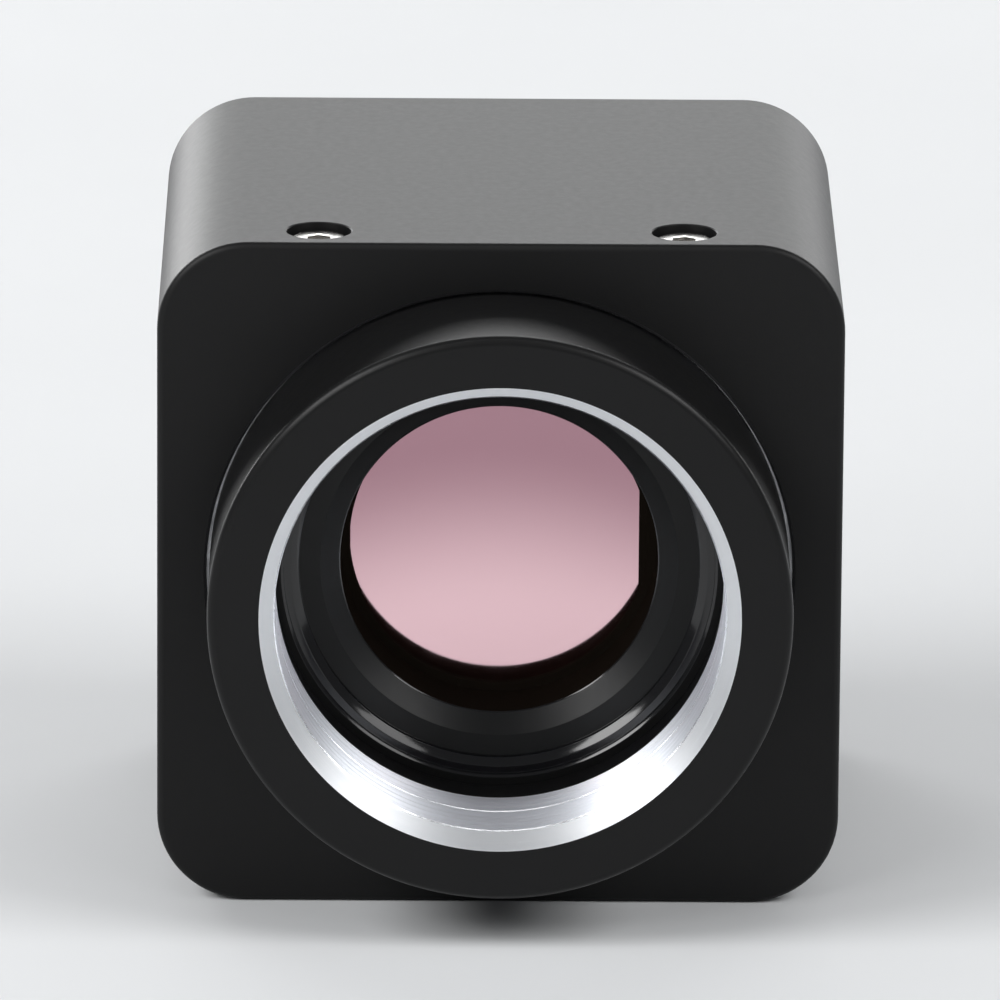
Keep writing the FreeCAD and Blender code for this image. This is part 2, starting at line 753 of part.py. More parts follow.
def make_mount_block():
    """The inner block: it carries the ring, the filter holder and the board stack."""
    body = new_body("mount_block")
    add(body, front_wall_back, filter_back, cavity_outline(size.slip_fit))
    add(body, filter_back, sensor_board_front, circles(size.post_diameter / 2, *stack_at))
    cut(body, front_wall_back, holder_seat, circles(spigot_radius + size.thread_fit, (0, 0)))
    cut(body, holder_seat, filter_back, circles(tube_radius + size.slip_fit, (0, 0)))
    stud_depth = size.front_stud_grip + size.stud_bottom
    cut(body, sensor_board_front - stud_depth, sensor_board_front, circles(stud_hole, *stack_at))
    tap_depth = size.screw_reach + size.stud_bottom
    cut_down(body, cavity_top, tap_depth, circles(screw_hole, *front_screws_at))
    cut_up(body, cavity_base, tap_depth, circles(screw_hole, *front_screws_at))
    return body


def make_filter_holder():
    """The black insert: recess, countersink, bore, window with two flats behind, filter pocket."""
    body = new_body("filter_holder")
    turn(
        body,
        (0, ledge_front), (bore_radius, ledge_front), (bore_radius, cone_end),
        (bore_radius + size.cone_step, holder_floor), (recess_radius, holder_floor),
        (recess_radius, holder_front), (flange_radius, holder_front), (flange_radius, holder_seat),
        (tube_radius, holder_seat), (tube_radius, filter_back), (pocket_radius, filter_back),
        (pocket_radius, filter_front), (0, filter_front),
    )
    half = window_radius - size.window_flat
    window = window_outline(window_radius, -half - size.window_shift, half - size.window_shift)
    cut(body, ledge_front, filter_front, window)
    cut(body, ledge_front, (ledge_front + filter_front) / 2, circles(window_radius, (0, 0)))
    return body


def make_filter():
    body = new_body("ir_cut_filter")
    add(body, filter_front, filter_back, circles(filter_radius, (0, 0)))
    return body


def centred(width, height):
    return block_at((as_size(0), as_size(0)), width, height)


def make_filter_gasket():
    """The soft frame that presses the filter home and keeps dust off the sensor."""
    body = new_body("filter_gasket")
    across = package_width / 2 - size.gasket_inset
    up = package_height / 2 - size.gasket_inset
    inner = centred(glass_width + 2 * size.slip_fit, glass_height + 2 * size.slip_fit)
    add(body, filter_back, rim_plane,
        rounded_rectangle(-across, across, -up, up, size.gasket_corner), inner)
    return body


def make_sensor():
    """The ceramic package with its well, the die in it, and the glass that closes it."""
    package = new_body("sensor_package")
    add(package, rim_plane, sensor_board_front, centred(package_width, package_height))
    cut(package, rim_plane, die_back, centred(well_width, well_height))
    die = new_body("sensor_die")
    add(die, image_plane, die_back, centred(size.die_width, size.die_height))
    glass = new_body("sensor_glass")
    add(glass, glass_front, rim_plane, centred(glass_width, glass_height))
    return package, die, glass


# Board stack -------------------------------------------------------------------------

def make_board(label, front):
    """A board that follows the cavity's outline, with four clearance holes."""
    body = new_body(label)
    back = front + size.board_thickness
    add(body, front, back, cavity_outline(size.board_margin))
    cut(body, front, back, circles(board_hole, *stack_at))
    return body


def make_spacers(label, front, length, stud):
    """Four hexagonal spacers, each with a stud in front and a tapped hole behind."""
    spacer = new_body(label + "_one")
    add(spacer, as_size(0), length, hexagon(size.spacer_flats))
    add(spacer, -stud, as_size(0), circles(size.stud_diameter / 2, (0, 0)))
    cut(spacer, length - size.stack_stud_grip - size.stud_bottom, length, circles(stud_hole, (0, 0)))
    place(spacer, *stack_place, front)
    return four_of(label, spacer)


def make_board_screws():
    length = size.board_thickness + size.stack_stud_grip
    screw = make_screw("board_screw", size.board_screw_head, size.board_screw_height,
                       size.stud_diameter, length)
    place(screw, *stack_place, interface_board_back, Rotation(Vector(1, 0, 0), 180))
    return four_of("board_screws", screw)


def make_connector(plug_label, socket_label, front, back, up):
    """A board-to-board pair: the plug's tongue reaches into the socket's slot."""
    middle = front + (back - front) * size.plug_share
    centre = (as_size(0), up)
    slot_length = connector_length - 2 * size.connector_wall
    slot_width = size.connector_width - 2 * size.connector_wall
    plug = new_body(plug_label)
    add(plug, front, middle, block_at(centre, connector_length, size.connector_width))
    tongue = block_at(centre, slot_length - 2 * size.slip_fit, slot_width - 2 * size.slip_fit)
    add(plug, middle, middle + size.tongue_length, tongue)
    socket = new_body(socket_label)
    add(socket, middle, back, block_at(centre, connector_length, size.connector_width))
    slot_end = middle + size.tongue_length + size.slip_fit
    cut(socket, middle, slot_end, block_at(centre, slot_length, slot_width))
    return plug, socket


def make_block(label, front, back, centre, width, height):
    body = new_body(label)
    add(body, front, back, block_at(centre, width, height))
    return body


def make_board_parts():
    """The larger parts on the boards, and the pad that takes the processor's heat."""
    chip_back = spreader_front - size.pad_thickness
    middle = (as_size(0), size.processor_rise)
    pad_side = size.processor_side - 2 * size.pad_inset
    processor = make_block("processor_chip", processor_board_back, chip_back, middle,
                           size.processor_side, size.processor_side)
    pad = make_block("thermal_pad", chip_back, spreader_front, middle, pad_side, pad_side)
    memory_place = (stack_place[0] - size.memory_inset, -size.memory_drop)
    chip = make_block("memory_chip", processor_board_front - size.memory_thickness,
                      processor_board_front, memory_place, size.memory_width, size.memory_height)
    memory = group("memory_chips", chip, mirrored(chip, Vector(1, 0, 0)))
    interface = make_block("interface_chip", interface_board_front - size.interface_thickness,
                           interface_board_front, (-size.interface_offset, size.processor_rise),
                           size.interface_side, size.interface_side)
    inductor = make_block("power_inductor", interface_board_front - size.inductor_height,
                          interface_board_front, (size.inductor_offset, size.inductor_span / 2),
                          size.inductor_side, size.inductor_side)
    inductors = group("power_inductors", inductor, mirrored(inductor, Vector(0, 0, 1)))
    return processor, pad, memory, interface, inductors


def make_heat_spreader():
    """A folded sheet across the stack, with a lip that lies along the roof."""
    body = new_body("heat_spreader")
    lip_top = cavity_top - size.slip_fit
    lip_side = cavity_side - size.cavity_corner
    add(body, spreader_front, spreader_back, cavity_outline(size.board_margin))
    lip_bottom = lip_top - size.spreader_thickness
    add(body, spreader_front, spreader_front + size.spreader_lip,
        rectangle(-lip_side, lip_side, lip_bottom, lip_top))
    cut(body, spreader_front, spreader_back, circles(board_hole, *stack_at))
    notch_side = connector_length / 2 + size.board_margin
    notch_top = link_height + size.connector_width / 2 + size.board_margin
    cut(body, spreader_front, spreader_back,
        rectangle(-notch_side, notch_side, cavity_base, notch_top))
    return body


# Sockets and status light in the rear cover ------------------------------------------

def make_usb_socket():
    """The shell is a folded sheet tube; the moulded base carries the two tongues."""
    mouth = cover_back + size.usb_proud
    shell = new_body("usb_shell")
    add(shell, interface_board_back, mouth, usb_outline(size.usb_wall), usb_outline(as_size(0)))
    place(shell, 0, -size.usb_drop)
    base_back = interface_board_back + size.usb_base
    tongues = new_body("usb_tongues")
    add(tongues, interface_board_back, base_back, usb_outline(-size.thread_fit))
    side = size.usb_width / 2
    split = size.usb_split - side
    sloped_gap = size.usb_step + size.usb_tongue_gap
    bottom = size.usb_tongue_rise - size.usb_tongue_height / 2
    top = size.usb_tongue_rise + size.usb_tongue_height / 2
    tip = mouth - size.usb_tongue_inset
    add(tongues, base_back, tip, rectangle(sloped_gap - side, split - sloped_gap, bottom, top))
    add(tongues, base_back, tip,
        rectangle(split + sloped_gap, side - size.usb_tongue_gap, bottom, top))
    place(tongues, 0, -size.usb_drop)
    return shell, tongues


def make_io_socket():
    """A round panel socket: shell with flange and nose, insert, six pins and a nut."""
    nose = size.io_nose / 2
    flange = io_barrel + size.io_flange_step
    flange_back = cover_back + size.io_flange_thickness
    mouth = flange_back + size.io_nose_length
    tail = cover_front - size.io_tail
    shell = new_body("io_shell")
    turn(
        shell,
        (io_bore, tail), (io_barrel, tail), (io_barrel, cover_back), (flange, cover_back),
        (flange, flange_back), (nose, flange_back), (nose, mouth), (io_bore, mouth),
    )
    key = size.io_key_width / 2
    insert_back = mouth - size.io_insert_setback
    cut(shell, insert_back, mouth, rectangle(-key, key, as_size(0), io_bore + size.io_key_depth))
    place(shell, -size.io_offset, size.io_rise)

    pin = size.io_pin / 2
    circle = size.io_pin_circle / 2
    insert = new_body("io_insert")
    add(insert, tail, insert_back, circles(io_bore - size.thread_fit, (0, 0)))
    hole = cut(insert, tail, insert_back, circles(pin + size.thread_fit, (0, circle)))
    ring_of(insert, hole)
    place(insert, -size.io_offset, size.io_rise)

    pins = new_body("io_pins")
    first = add(pins, interface_board_back, insert_back + size.io_pin_reach, circles(pin, (0, circle)))
    ring_of(pins, first)
    place(pins, -size.io_offset, size.io_rise)

    nut = new_body("io_nut")
    add(nut, cover_front - size.io_nut_thickness, cover_front,
        hexagon(size.io_nut_flats), circles(io_barrel + size.thread_fit, (0, 0)))
    place(nut, -size.io_offset, size.io_rise)
    return shell, insert, pins, nut


def ring_of(body, feature):
    """Repeats a feature six times about the body's own Y axis."""
    doc.recompute()
    axis = next(item for item in body.Origin.OriginFeatures if item.Role == "Y_Axis")
    pattern = body.newObject("PartDesign::PolarPattern", body.Name + "_pattern")
    pattern.Originals = [feature]
    pattern.Axis = (axis, [""])
    pattern.Angle = 360
    pattern.Occurrences = PIN_COUNT
    body.Tip = pattern
    return pattern


def make_status_light():
    """A light pipe through the cover, and the diode that it starts at."""
    pipe = new_body("light_pipe")
    led_back = interface_board_back + size.led_height
    add(pipe, led_back + size.light_gap, cover_back, circles(size.light_diameter / 2, (0, 0)))
    collar = size.light_diameter / 2 + size.light_collar_step
    add(pipe, cover_front - size.light_collar_length, cover_front, circles(collar, (0, 0)))
    place(pipe, *light_place)
    led = make_block("status_led", interface_board_back, led_back,
                     light_place, size.led_length, size.led_width)
    return pipe, led


# Building, checking and writing ------------------------------------------------------

nodes = [
    make_housing(),
    make_rear_cover(),
    make_front_screws(),
    make_cover_screws(),
    make_mount_ring(),
    make_focus_shim(),
    make_mount_block(),
    make_filter_holder(),
    make_filter(),
    make_filter_gasket(),
    *make_sensor(),
    make_board("sensor_board", sensor_board_front),
    make_board("processor_board", processor_board_front),
    make_board("interface_board", interface_board_front),
    make_spacers("front_spacers", sensor_board_back, size.front_spacer,
                 size.board_thickness + size.front_stud_grip),
    make_spacers("middle_spacers", processor_board_back, size.middle_spacer,
                 size.board_thickness + size.stack_stud_grip),
    make_spacers("rear_spacers", spreader_back, size.rear_spacer,
                 size.spreader_thickness + size.stack_stud_grip),
    make_board_screws(),
    *make_connector("sensor_plug", "sensor_socket", sensor_board_back, processor_board_front,
                    cavity_top - size.top_connector_inset),
    *make_connector("link_plug", "link_socket", processor_board_back, interface_board_front,
                    link_height),
    *make_board_parts(),
    make_heat_spreader(),
    *make_usb_socket(),
    *make_io_socket(),
    *make_status_light(),
]

doc.recompute()

for item in doc.Objects:
    if {"Invalid", "Error"} & set(item.State):
        raise RuntimeError("%s failed: %s" % (item.Label, item.State))

os.makedirs("parts", exist_ok=True)
for node in nodes:
    shape = node.Shape
    if shape.isNull() or not shape.isValid():
        raise RuntimeError("%s has no valid shape" % node.Label)
    print("%-20s %2d solids %9.2f mm3" % (node.Label, len(shape.Solids), shape.Volume))
for node in nodes:
    node.Shape.exportStep("parts/%s.step" % node.Label)
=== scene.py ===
import math

import bmesh
import bpy
from mathutils import Matrix, Vector


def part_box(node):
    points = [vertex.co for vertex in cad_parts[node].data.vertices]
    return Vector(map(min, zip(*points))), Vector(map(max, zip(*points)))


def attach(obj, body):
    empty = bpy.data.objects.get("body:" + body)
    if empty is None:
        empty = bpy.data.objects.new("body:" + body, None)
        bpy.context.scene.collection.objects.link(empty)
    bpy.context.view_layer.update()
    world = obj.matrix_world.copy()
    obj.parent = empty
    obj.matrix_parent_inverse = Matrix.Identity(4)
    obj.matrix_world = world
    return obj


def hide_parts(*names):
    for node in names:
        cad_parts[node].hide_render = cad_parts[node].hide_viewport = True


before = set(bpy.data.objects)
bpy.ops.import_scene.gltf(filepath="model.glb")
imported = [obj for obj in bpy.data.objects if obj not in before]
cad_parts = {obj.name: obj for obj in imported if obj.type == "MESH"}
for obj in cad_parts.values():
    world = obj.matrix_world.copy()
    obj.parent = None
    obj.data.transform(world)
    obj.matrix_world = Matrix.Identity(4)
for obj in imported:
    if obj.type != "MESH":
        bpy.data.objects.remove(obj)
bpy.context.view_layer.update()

MM = 0.001
TAU = 2 * math.pi


# Places of the parts, in millimetres ---------------------------------------------------

class Place:
    """Where a part lies, and its middle as seen along the optical axis.

    X runs to the right, Y back along the optical axis and Z up.
    """

    def __init__(self, node):
        low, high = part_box(node)
        self.left, self.front, self.base = (value / MM for value in low)
        self.right, self.back, self.top = (value / MM for value in high)
        self.middle = ((self.left + self.right) / 2, (self.base + self.top) / 2)


housing = Place("housing")
mount_block = Place("mount_block")
ring = Place("lens_mount_ring")
shim = Place("focus_shim")
holder = Place("filter_holder")
glass = Place("ir_cut_filter")
front_screws = Place("front_screws")
cover = Place("rear_cover")
cover_screws = Place("rear_cover_screws")
usb_shell = Place("usb_shell")
usb_tongues = Place("usb_tongues")
io_shell = Place("io_shell")
io_insert = Place("io_insert")
io_pins = Place("io_pins")
light_pipe = Place("light_pipe")


# Shader helpers ------------------------------------------------------------------------

ANGLE_DRIFT = 0.004


class Finish:
    """A material and short ways to add and join its nodes."""

    def __init__(self, name):
        self.material = bpy.data.materials.new(name + "_finish")
        self.material.use_nodes = True
        self.tree = self.material.node_tree
        self.surface = self.tree.nodes["Principled BSDF"]
        coordinates = self.node("ShaderNodeTexCoord")
        self.place = coordinates.outputs["Object"]

    def node(self, kind, **settings):
        node = self.tree.nodes.new(kind)
        for name, value in settings.items():
            setattr(node, name, value)
        return node

    def join(self, source, target):
        self.tree.links.new(source, target)

    def set(self, **values):
        for name, value in values.items():
            self.surface.inputs[name.replace("_", " ")].default_value = value

    def around(self):
        """Places told apart by radius and depth, and only a little by angle."""
        parts = self.node("ShaderNodeSeparateXYZ")
        self.join(self.place, parts.inputs["Vector"])
        flat = self.node("ShaderNodeCombineXYZ")
        self.join(parts.outputs["X"], flat.inputs["X"])
        self.join(parts.outputs["Z"], flat.inputs["Z"])
        radius = self.node("ShaderNodeVectorMath", operation="LENGTH")
        self.join(flat.outputs["Vector"], radius.inputs[0])
        drift = self.node("ShaderNodeMath", operation="MULTIPLY")
        drift.inputs[1].default_value = ANGLE_DRIFT
        self.join(parts.outputs["X"], drift.inputs[0])
        place = self.node("ShaderNodeCombineXYZ")
        self.join(radius.outputs["Value"], place.inputs["X"])
        self.join(parts.outputs["Y"], place.inputs["Y"])
        self.join(drift.outputs["Value"], place.inputs["Z"])
        return place.outputs["Vector"]

    def height(self, start, end, bow):
        """Runs smoothly from 0 to 1 between two heights, along a line that is bowed upwards."""
        parts = self.node("ShaderNodeSeparateXYZ")
        self.join(self.place, parts.inputs["Vector"])
        square = self.node("ShaderNodeMath", operation="MULTIPLY")
        self.join(parts.outputs["X"], square.inputs[0])
        self.join(parts.outputs["X"], square.inputs[1])
        bowed = self.node("ShaderNodeMath", operation="MULTIPLY_ADD")
        self.join(square.outputs["Value"], bowed.inputs[0])
        bowed.inputs[1].default_value = bow / MM
        self.join(parts.outputs["Z"], bowed.inputs[2])
        return self.between(bowed.outputs["Value"], 0.0, 1.0, start * MM, end * MM, "SMOOTHSTEP")

    def noise(self, grain, detail=3.0, place=None):
        """Noise whose features are about grain millimetres across."""
        node = self.node("ShaderNodeTexNoise")
        node.inputs["Scale"].default_value = 1 / (grain * MM)
        node.inputs["Detail"].default_value = detail
        self.join(place or self.place, node.inputs["Vector"])
        return node.outputs["Fac"]

    def between(self, factor, low, high, start=0.3, end=0.7, shape="LINEAR"):
        """Runs from low to high while a factor runs from start to end."""
        node = self.node("ShaderNodeMapRange", interpolation_type=shape)
        node.inputs["From Min"].default_value = start
        node.inputs["From Max"].default_value = end
        node.inputs["To Min"].default_value = low
        node.inputs["To Max"].default_value = high
        self.join(factor, node.inputs["Value"])
        return node.outputs["Result"]

    def blend(self, factor, first, second):
        """A colour between two colours, which may be fixed or linked."""
        node = self.node("ShaderNodeMix", data_type="RGBA")
        self.join(factor, node.inputs["Factor"])
        for name, colour in (("A", first), ("B", second)):
            socket = next(s for s in node.inputs if s.name == name and s.type == "RGBA")
            if isinstance(colour, bpy.types.NodeSocket):
                self.join(colour, socket)
            else:
                socket.default_value = (*colour, 1)
        return next(s for s in node.outputs if s.type == "RGBA")

    def relief(self, height, depth, normal=None):
        """Bumps of a given depth in millimetres."""
        node = self.node("ShaderNodeBump")
        node.inputs["Strength"].default_value = 1.0
        node.inputs["Distance"].default_value = depth * MM
        self.join(height, node.inputs["Height"])
        if normal:
            self.join(normal, node.inputs["Normal"])
        return node.outputs["Normal"]

    def colour(self, source):
        self.join(source, self.surface.inputs["Base Color"])

    def roughness(self, source):
        self.join(source, self.surface.inputs["Roughness"])

    def normal(self, source):
        self.join(source, self.surface.inputs["Normal"])


# Finishes ------------------------------------------------------------------------------

# Patches, grains, pitches and depths are in millimetres
BLAST_PATCHES = 6.0
BLAST_SHEEN = 0.5
BLAST_GRAIN = 0.12
BLAST_SPREAD = 0.015

TURNED_PATCHES = 0.6
TURNED_PITCH = 0.10
TURNED_DEPTH = 0.010
TURNED_SPREAD = 0.06

# Painted shade and light on the filter: darker colours at its top and lighter ones at its bottom,
# faded between two heights along a bowed line
GLASS_PAINTED_SHADE_TOP = ((0.415, 0.236, 0.278), (0.435, 0.249, 0.294))
GLASS_PAINTED_LIGHT_BOTTOM = ((0.920, 0.620, 0.668), (0.950, 0.645, 0.692))
GLASS_CLOUDS = 9.0
GLASS_SHEEN = 2.0
SHADE_FADE_START = 5.7
SHADE_FADE_END = -4.6
SHADE_FADE_BOW = 0.019


def blasted_black(name, dark, light, rough, shine, depth):
    """Bead-blasted, black anodised aluminium, with pits of a given depth in millimetres."""
    finish = Finish(name)
    finish.set(Metallic=0.0, Specular_IOR_Level=shine)
    finish.colour(finish.blend(finish.noise(BLAST_PATCHES, 4.0), dark, light))
    sheen = finish.noise(BLAST_SHEEN, 4.0)
    finish.roughness(finish.between(sheen, rough - BLAST_SPREAD, rough + BLAST_SPREAD))
    coarse = finish.relief(finish.noise(BLAST_GRAIN, 2.0), depth)
    finish.normal(finish.relief(finish.noise(BLAST_GRAIN / 3, 1.0), depth / 3, coarse))
    return finish.material


def plain_finish(name, dark, light, metallic, rough, grain, depth=0.002):
    """A finish with soft mottling and a fine relief, both tied to its grain in millimetres."""
    finish = Finish(name)
    finish.set(Metallic=metallic)
    finish.colour(finish.blend(finish.noise(grain * 8, 4.0), dark, light))
    finish.roughness(finish.between(finish.noise(grain * 3), rough * 0.8, rough * 1.2))
    finish.normal(finish.relief(finish.noise(grain, 2.0), depth))
    return finish.material


def turned_metal(name, dark, light, rough, metallic):
    """Bare aluminium with the fine rings that a lathe tool leaves."""
    finish = Finish(name)
    finish.set(Metallic=metallic, Anisotropic=0.9, Anisotropic_Rotation=0.25)
    lay = finish.node("ShaderNodeTangent", direction_type="RADIAL", axis="Y")
    finish.join(lay.outputs["Tangent"], finish.surface.inputs["Tangent"])
    rings = finish.around()
    streaks = finish.noise(TURNED_PITCH, 2.0, rings)
    finish.colour(finish.blend(finish.noise(TURNED_PATCHES, 3.0, rings), dark, light))
    finish.roughness(finish.between(streaks, rough - TURNED_SPREAD, rough + TURNED_SPREAD))
    finish.normal(finish.relief(streaks, TURNED_DEPTH))
    return finish.material


def coated_glass(name):
    """The pink mirror-like face of an infrared-cut filter, with painted shade and light: darker
    towards its top, lighter towards its bottom.
    """
    finish = Finish(name)
    finish.set(Metallic=1.0)
    clouds = finish.noise(GLASS_CLOUDS, 2.0)
    # Painted shade above and painted light below, each with random clouds of tone
    upper = finish.blend(clouds, *GLASS_PAINTED_SHADE_TOP)
    lit_lower = finish.blend(clouds, *GLASS_PAINTED_LIGHT_BOTTOM)
    finish.colour(finish.blend(finish.height(SHADE_FADE_START, SHADE_FADE_END, SHADE_FADE_BOW), upper, lit_lower))
    finish.roughness(finish.between(finish.noise(GLASS_SHEEN), 0.05, 0.07))
    return finish.material


# Darker and lighter colour, roughness, shine, depth of the pits
BLACKS = {
    "black_anodised": ((0.0060, 0.0060, 0.0062), (0.0080, 0.0080, 0.0082), 0.46, 0.20, 0.004),
    "mount_ring": ((0.0060, 0.0060, 0.0062), (0.0080, 0.0080, 0.0082), 0.34, 0.18, 0.002),
    "black_insert": ((0.005, 0.005, 0.005), (0.007, 0.007, 0.007), 0.34, 0.24, 0.001),
    # A darker copy of the insert's black: painted shade on the cone inside the holder's recess
    "black_cone_shaded": ((0.003, 0.003, 0.003), (0.0045, 0.0045, 0.0045), 0.40, 0.38, 0.002),
    "black_bore": ((0.0150, 0.0112, 0.0082), (0.0190, 0.0145, 0.0108), 0.80, 0.0, 0.002),
    "black_gloss": ((0.005, 0.005, 0.006), (0.007, 0.007, 0.008), 0.10, 0.55, 0.0005),
    # A lighter copy of the black: a painted highlight along the chamfer round the ring's bore
    "black_edge_highlight": ((0.040, 0.040, 0.042), (0.060, 0.060, 0.063), 0.34, 0.45, 0.001),
}

# Darker and lighter colour, roughness, metallic share
TURNED_METALS = {
    "bare_aluminium": ((0.80, 0.83, 0.89), (0.90, 0.93, 0.97), 0.53, 0.95),
    # A lighter copy of the bare aluminium: painted light on the mouth's chamfer
    "chamfer_aluminium_lit": ((0.90, 0.92, 0.95), (0.96, 0.97, 0.98), 0.64, 0.92),
}

# Darker and lighter colour, metallic share, roughness, grain and, if it isn't the usual, depth
PLAIN_FINISHES = {
    "block_metal": ((0.60, 0.61, 0.63), (0.70, 0.71, 0.73), 1.0, 0.35, 0.2),
    "steel": ((0.48, 0.47, 0.46), (0.58, 0.57, 0.55), 1.0, 0.22, 0.15),
    "sealing_rubber": ((0.015, 0.015, 0.015), (0.025, 0.025, 0.025), 0.0, 0.7, 0.2),
    "ceramic": ((0.55, 0.52, 0.47), (0.62, 0.59, 0.54), 0.0, 0.5, 0.2),
    "silicon": ((0.09, 0.08, 0.11), (0.13, 0.11, 0.16), 0.3, 0.2, 0.3),
    "cover_glass": ((0.30, 0.34, 0.34), (0.34, 0.38, 0.38), 0.0, 0.06, 0.5, 0.0005),
    "board": ((0.010, 0.075, 0.035), (0.016, 0.105, 0.050), 0.0, 0.35, 0.4),
    "chip_plastic": ((0.020, 0.020, 0.021), (0.030, 0.030, 0.032), 0.0, 0.55, 0.1),
    "thermal_silicone": ((0.30, 0.36, 0.42), (0.36, 0.42, 0.48), 0.0, 0.75, 0.3),
    "spreader_metal": ((0.65, 0.66, 0.67), (0.74, 0.75, 0.76), 1.0, 0.38, 0.2),
    "socket_shell": ((0.62, 0.62, 0.61), (0.70, 0.70, 0.68), 1.0, 0.24, 0.15),
    "socket_insert": ((0.018, 0.018, 0.019), (0.027, 0.027, 0.028), 0.0, 0.45, 0.15),
    "gold_contact": ((0.80, 0.56, 0.22), (0.88, 0.64, 0.28), 1.0, 0.25, 0.1),
    "clear_plastic": ((0.72, 0.76, 0.74), (0.80, 0.83, 0.81), 0.0, 0.18, 0.3),
    # Smoother than the bare aluminium, and lighter as a painted highlight on the mouth's lip and the
    # thread's fine line
    "polished_edge_highlight": ((0.86, 0.88, 0.92), (0.94, 0.95, 0.97), 1.0, 0.24, 0.1, 0.0005),
}

FINISHES = {"filter_glass": coated_glass("filter_glass")}
for name, look in BLACKS.items():
    FINISHES[name] = blasted_black(name, *look)
for name, look in TURNED_METALS.items():
    FINISHES[name] = turned_metal(name, *look)
for name, look in PLAIN_FINISHES.items():
    FINISHES[name] = plain_finish(name, *look)


# Outlines: lists of points in millimetres ----------------------------------------------

def softened(corners, steps):
    """A closed outline whose corners, given as (a, b, radius), are arcs."""
    points = []
    count = len(corners)
    for index, (a, b, radius) in enumerate(corners):
        here = Vector((a, b))
        before = Vector(corners[index - 1][:2])
        after = Vector(corners[(index + 1) % count][:2])
        if radius <= 0:
            points.append((a, b))
            continue
        towards = (before - here).normalized()
        onwards = (after - here).normalized()
        half_angle = towards.angle(onwards) / 2
        reach = radius / math.tan(half_angle)
        middle = here + (towards + onwards).normalized() * radius / math.sin(half_angle)
        start = here + towards * reach - middle
        end = here + onwards * reach - middle
        sweep = start.angle_signed(end)
        for step in range(steps + 1):
            turned = start.copy()
            turned.rotate(Matrix.Rotation(-sweep * step / steps, 2))
            points.append(tuple(middle + turned))
    return points


def rounded_box(left, right, bottom, top, radius, steps=16):
    """A rectangle with rounded corners; boxes with equal steps have equally many points."""
    points = []
    centres = (
        (right - radius, top - radius),
        (left + radius, top - radius),
        (left + radius, bottom + radius),
        (right - radius, bottom + radius),
    )
    for quarter, (a, b) in enumerate(centres):
        for step in range(steps + 1):
            angle = (quarter + step / steps) * TAU / 4
            points.append((a + radius * math.cos(angle), b + radius * math.sin(angle)))
    return points


def across(outline, depth):
    """Puts an outline in a plane across the optical axis."""
    return [(a, depth, b) for a, b in outline]


# Mesh helpers --------------------------------------------------------------------------

OVERRUN = 1.0  # of a cutter past an open face
OVERLAP = 0.1  # of two forms that join
FIT = 0.02  # clearance round a part that fits closely
NEAR = 0.01  # margin where faces are told apart by place


def lathe(bm, profile, steps, at=(0, 0), closed=True, slots=None):
    """Turns (radius, depth) points about an axis along Y."""
    rings = []
    for radius, depth in profile:
        if radius < 1e-6:
            rings.append([bm.verts.new((at[0], depth, at[1]))] * steps)
            continue
        turns = [TAU * step / steps for step in range(steps)]
        rings.append([
            bm.verts.new((at[0] + radius * math.cos(turn), depth, at[1] + radius * math.sin(turn)))
            for turn in turns
        ])
    for index in range(len(rings) if closed else len(rings) - 1):
        after = (index + 1) % len(rings)
        one, other = rings[index], rings[after]
        for step in range(steps):
            following = (step + 1) % steps
            corners = [one[step], other[step], other[following], one[following]]
            corners = list(dict.fromkeys(corners))
            if len(corners) > 2:
                face = bm.faces.new(corners)
                if slots:
                    face.material_index = slots(profile[index], profile[after])


def loft(bm, loops, tube=False, slot=0):
    """Joins closed loops of equal length, and closes both ends or makes a tube."""
    rows = [[bm.verts.new(point) for point in loop] for loop in loops]
    faces = [] if tube else [bm.faces.new(rows[0]), bm.faces.new(rows[-1][::-1])]
    pairs = list(zip(rows, rows[1:])) + ([(rows[-1], rows[0])] if tube else [])
    for one, other in pairs:
        for index in range(len(one)):
            following = (index + 1) % len(one)
            faces.append(bm.faces.new((one[index], other[index], other[following], one[following])))
    for face in faces:
        face.material_index = slot


def thread_band(bm, radius, groove, start, end, pitch, steps, samples=10, slot=0):
    """The wall of a threaded bore: a helical groove that fades out at both ends."""
    rise = [0.5 - 0.5 * math.cos(TAU * sample / samples) for sample in range(samples)]
    turns = math.ceil((end - start) / pitch) + 2
    fading = 0.6 * pitch
    grid = []
    for row in range(turns * samples + 1):
        line = []
        for step in range(steps):
            depth = start + pitch * (row / samples + step / steps - 1)
            depth = min(max(depth, start), end)
            fade = min(1.0, min(depth - start, end - depth) / fading)
            reach = radius + groove * rise[row % samples] * fade
            angle = TAU * step / steps
            line.append(bm.verts.new((reach * math.cos(angle), depth, reach * math.sin(angle))))
        grid.append(line)
    for row in range(len(grid) - samples - 1):
        for step in range(steps):
            last = step == steps - 1
            next_row, next_step = (row + samples, 0) if last else (row, step + 1)
            face = bm.faces.new((
                grid[row][step], grid[row + 1][step],
                grid[next_row + 1][next_step], grid[next_row][next_step],
            ))
            face.material_index = slot


def finished_mesh(bm, name):
    """Writes a mesh in metres, with its faces turned outwards."""
    bmesh.ops.remove_doubles(bm, verts=bm.verts, dist=1e-5)
    bmesh.ops.recalc_face_normals(bm, faces=bm.faces)
    bmesh.ops.scale(bm, vec=(MM, MM, MM), verts=bm.verts)
    mesh = bpy.data.meshes.new(name)
    bm.to_mesh(mesh)
    bm.free()
    return mesh


def scratch(bm):
    """An object that isn't shown and is used up by others."""
    item = bpy.data.objects.new("scratch", finished_mesh(bm, "scratch"))
    bpy.context.collection.objects.link(item)
    return item


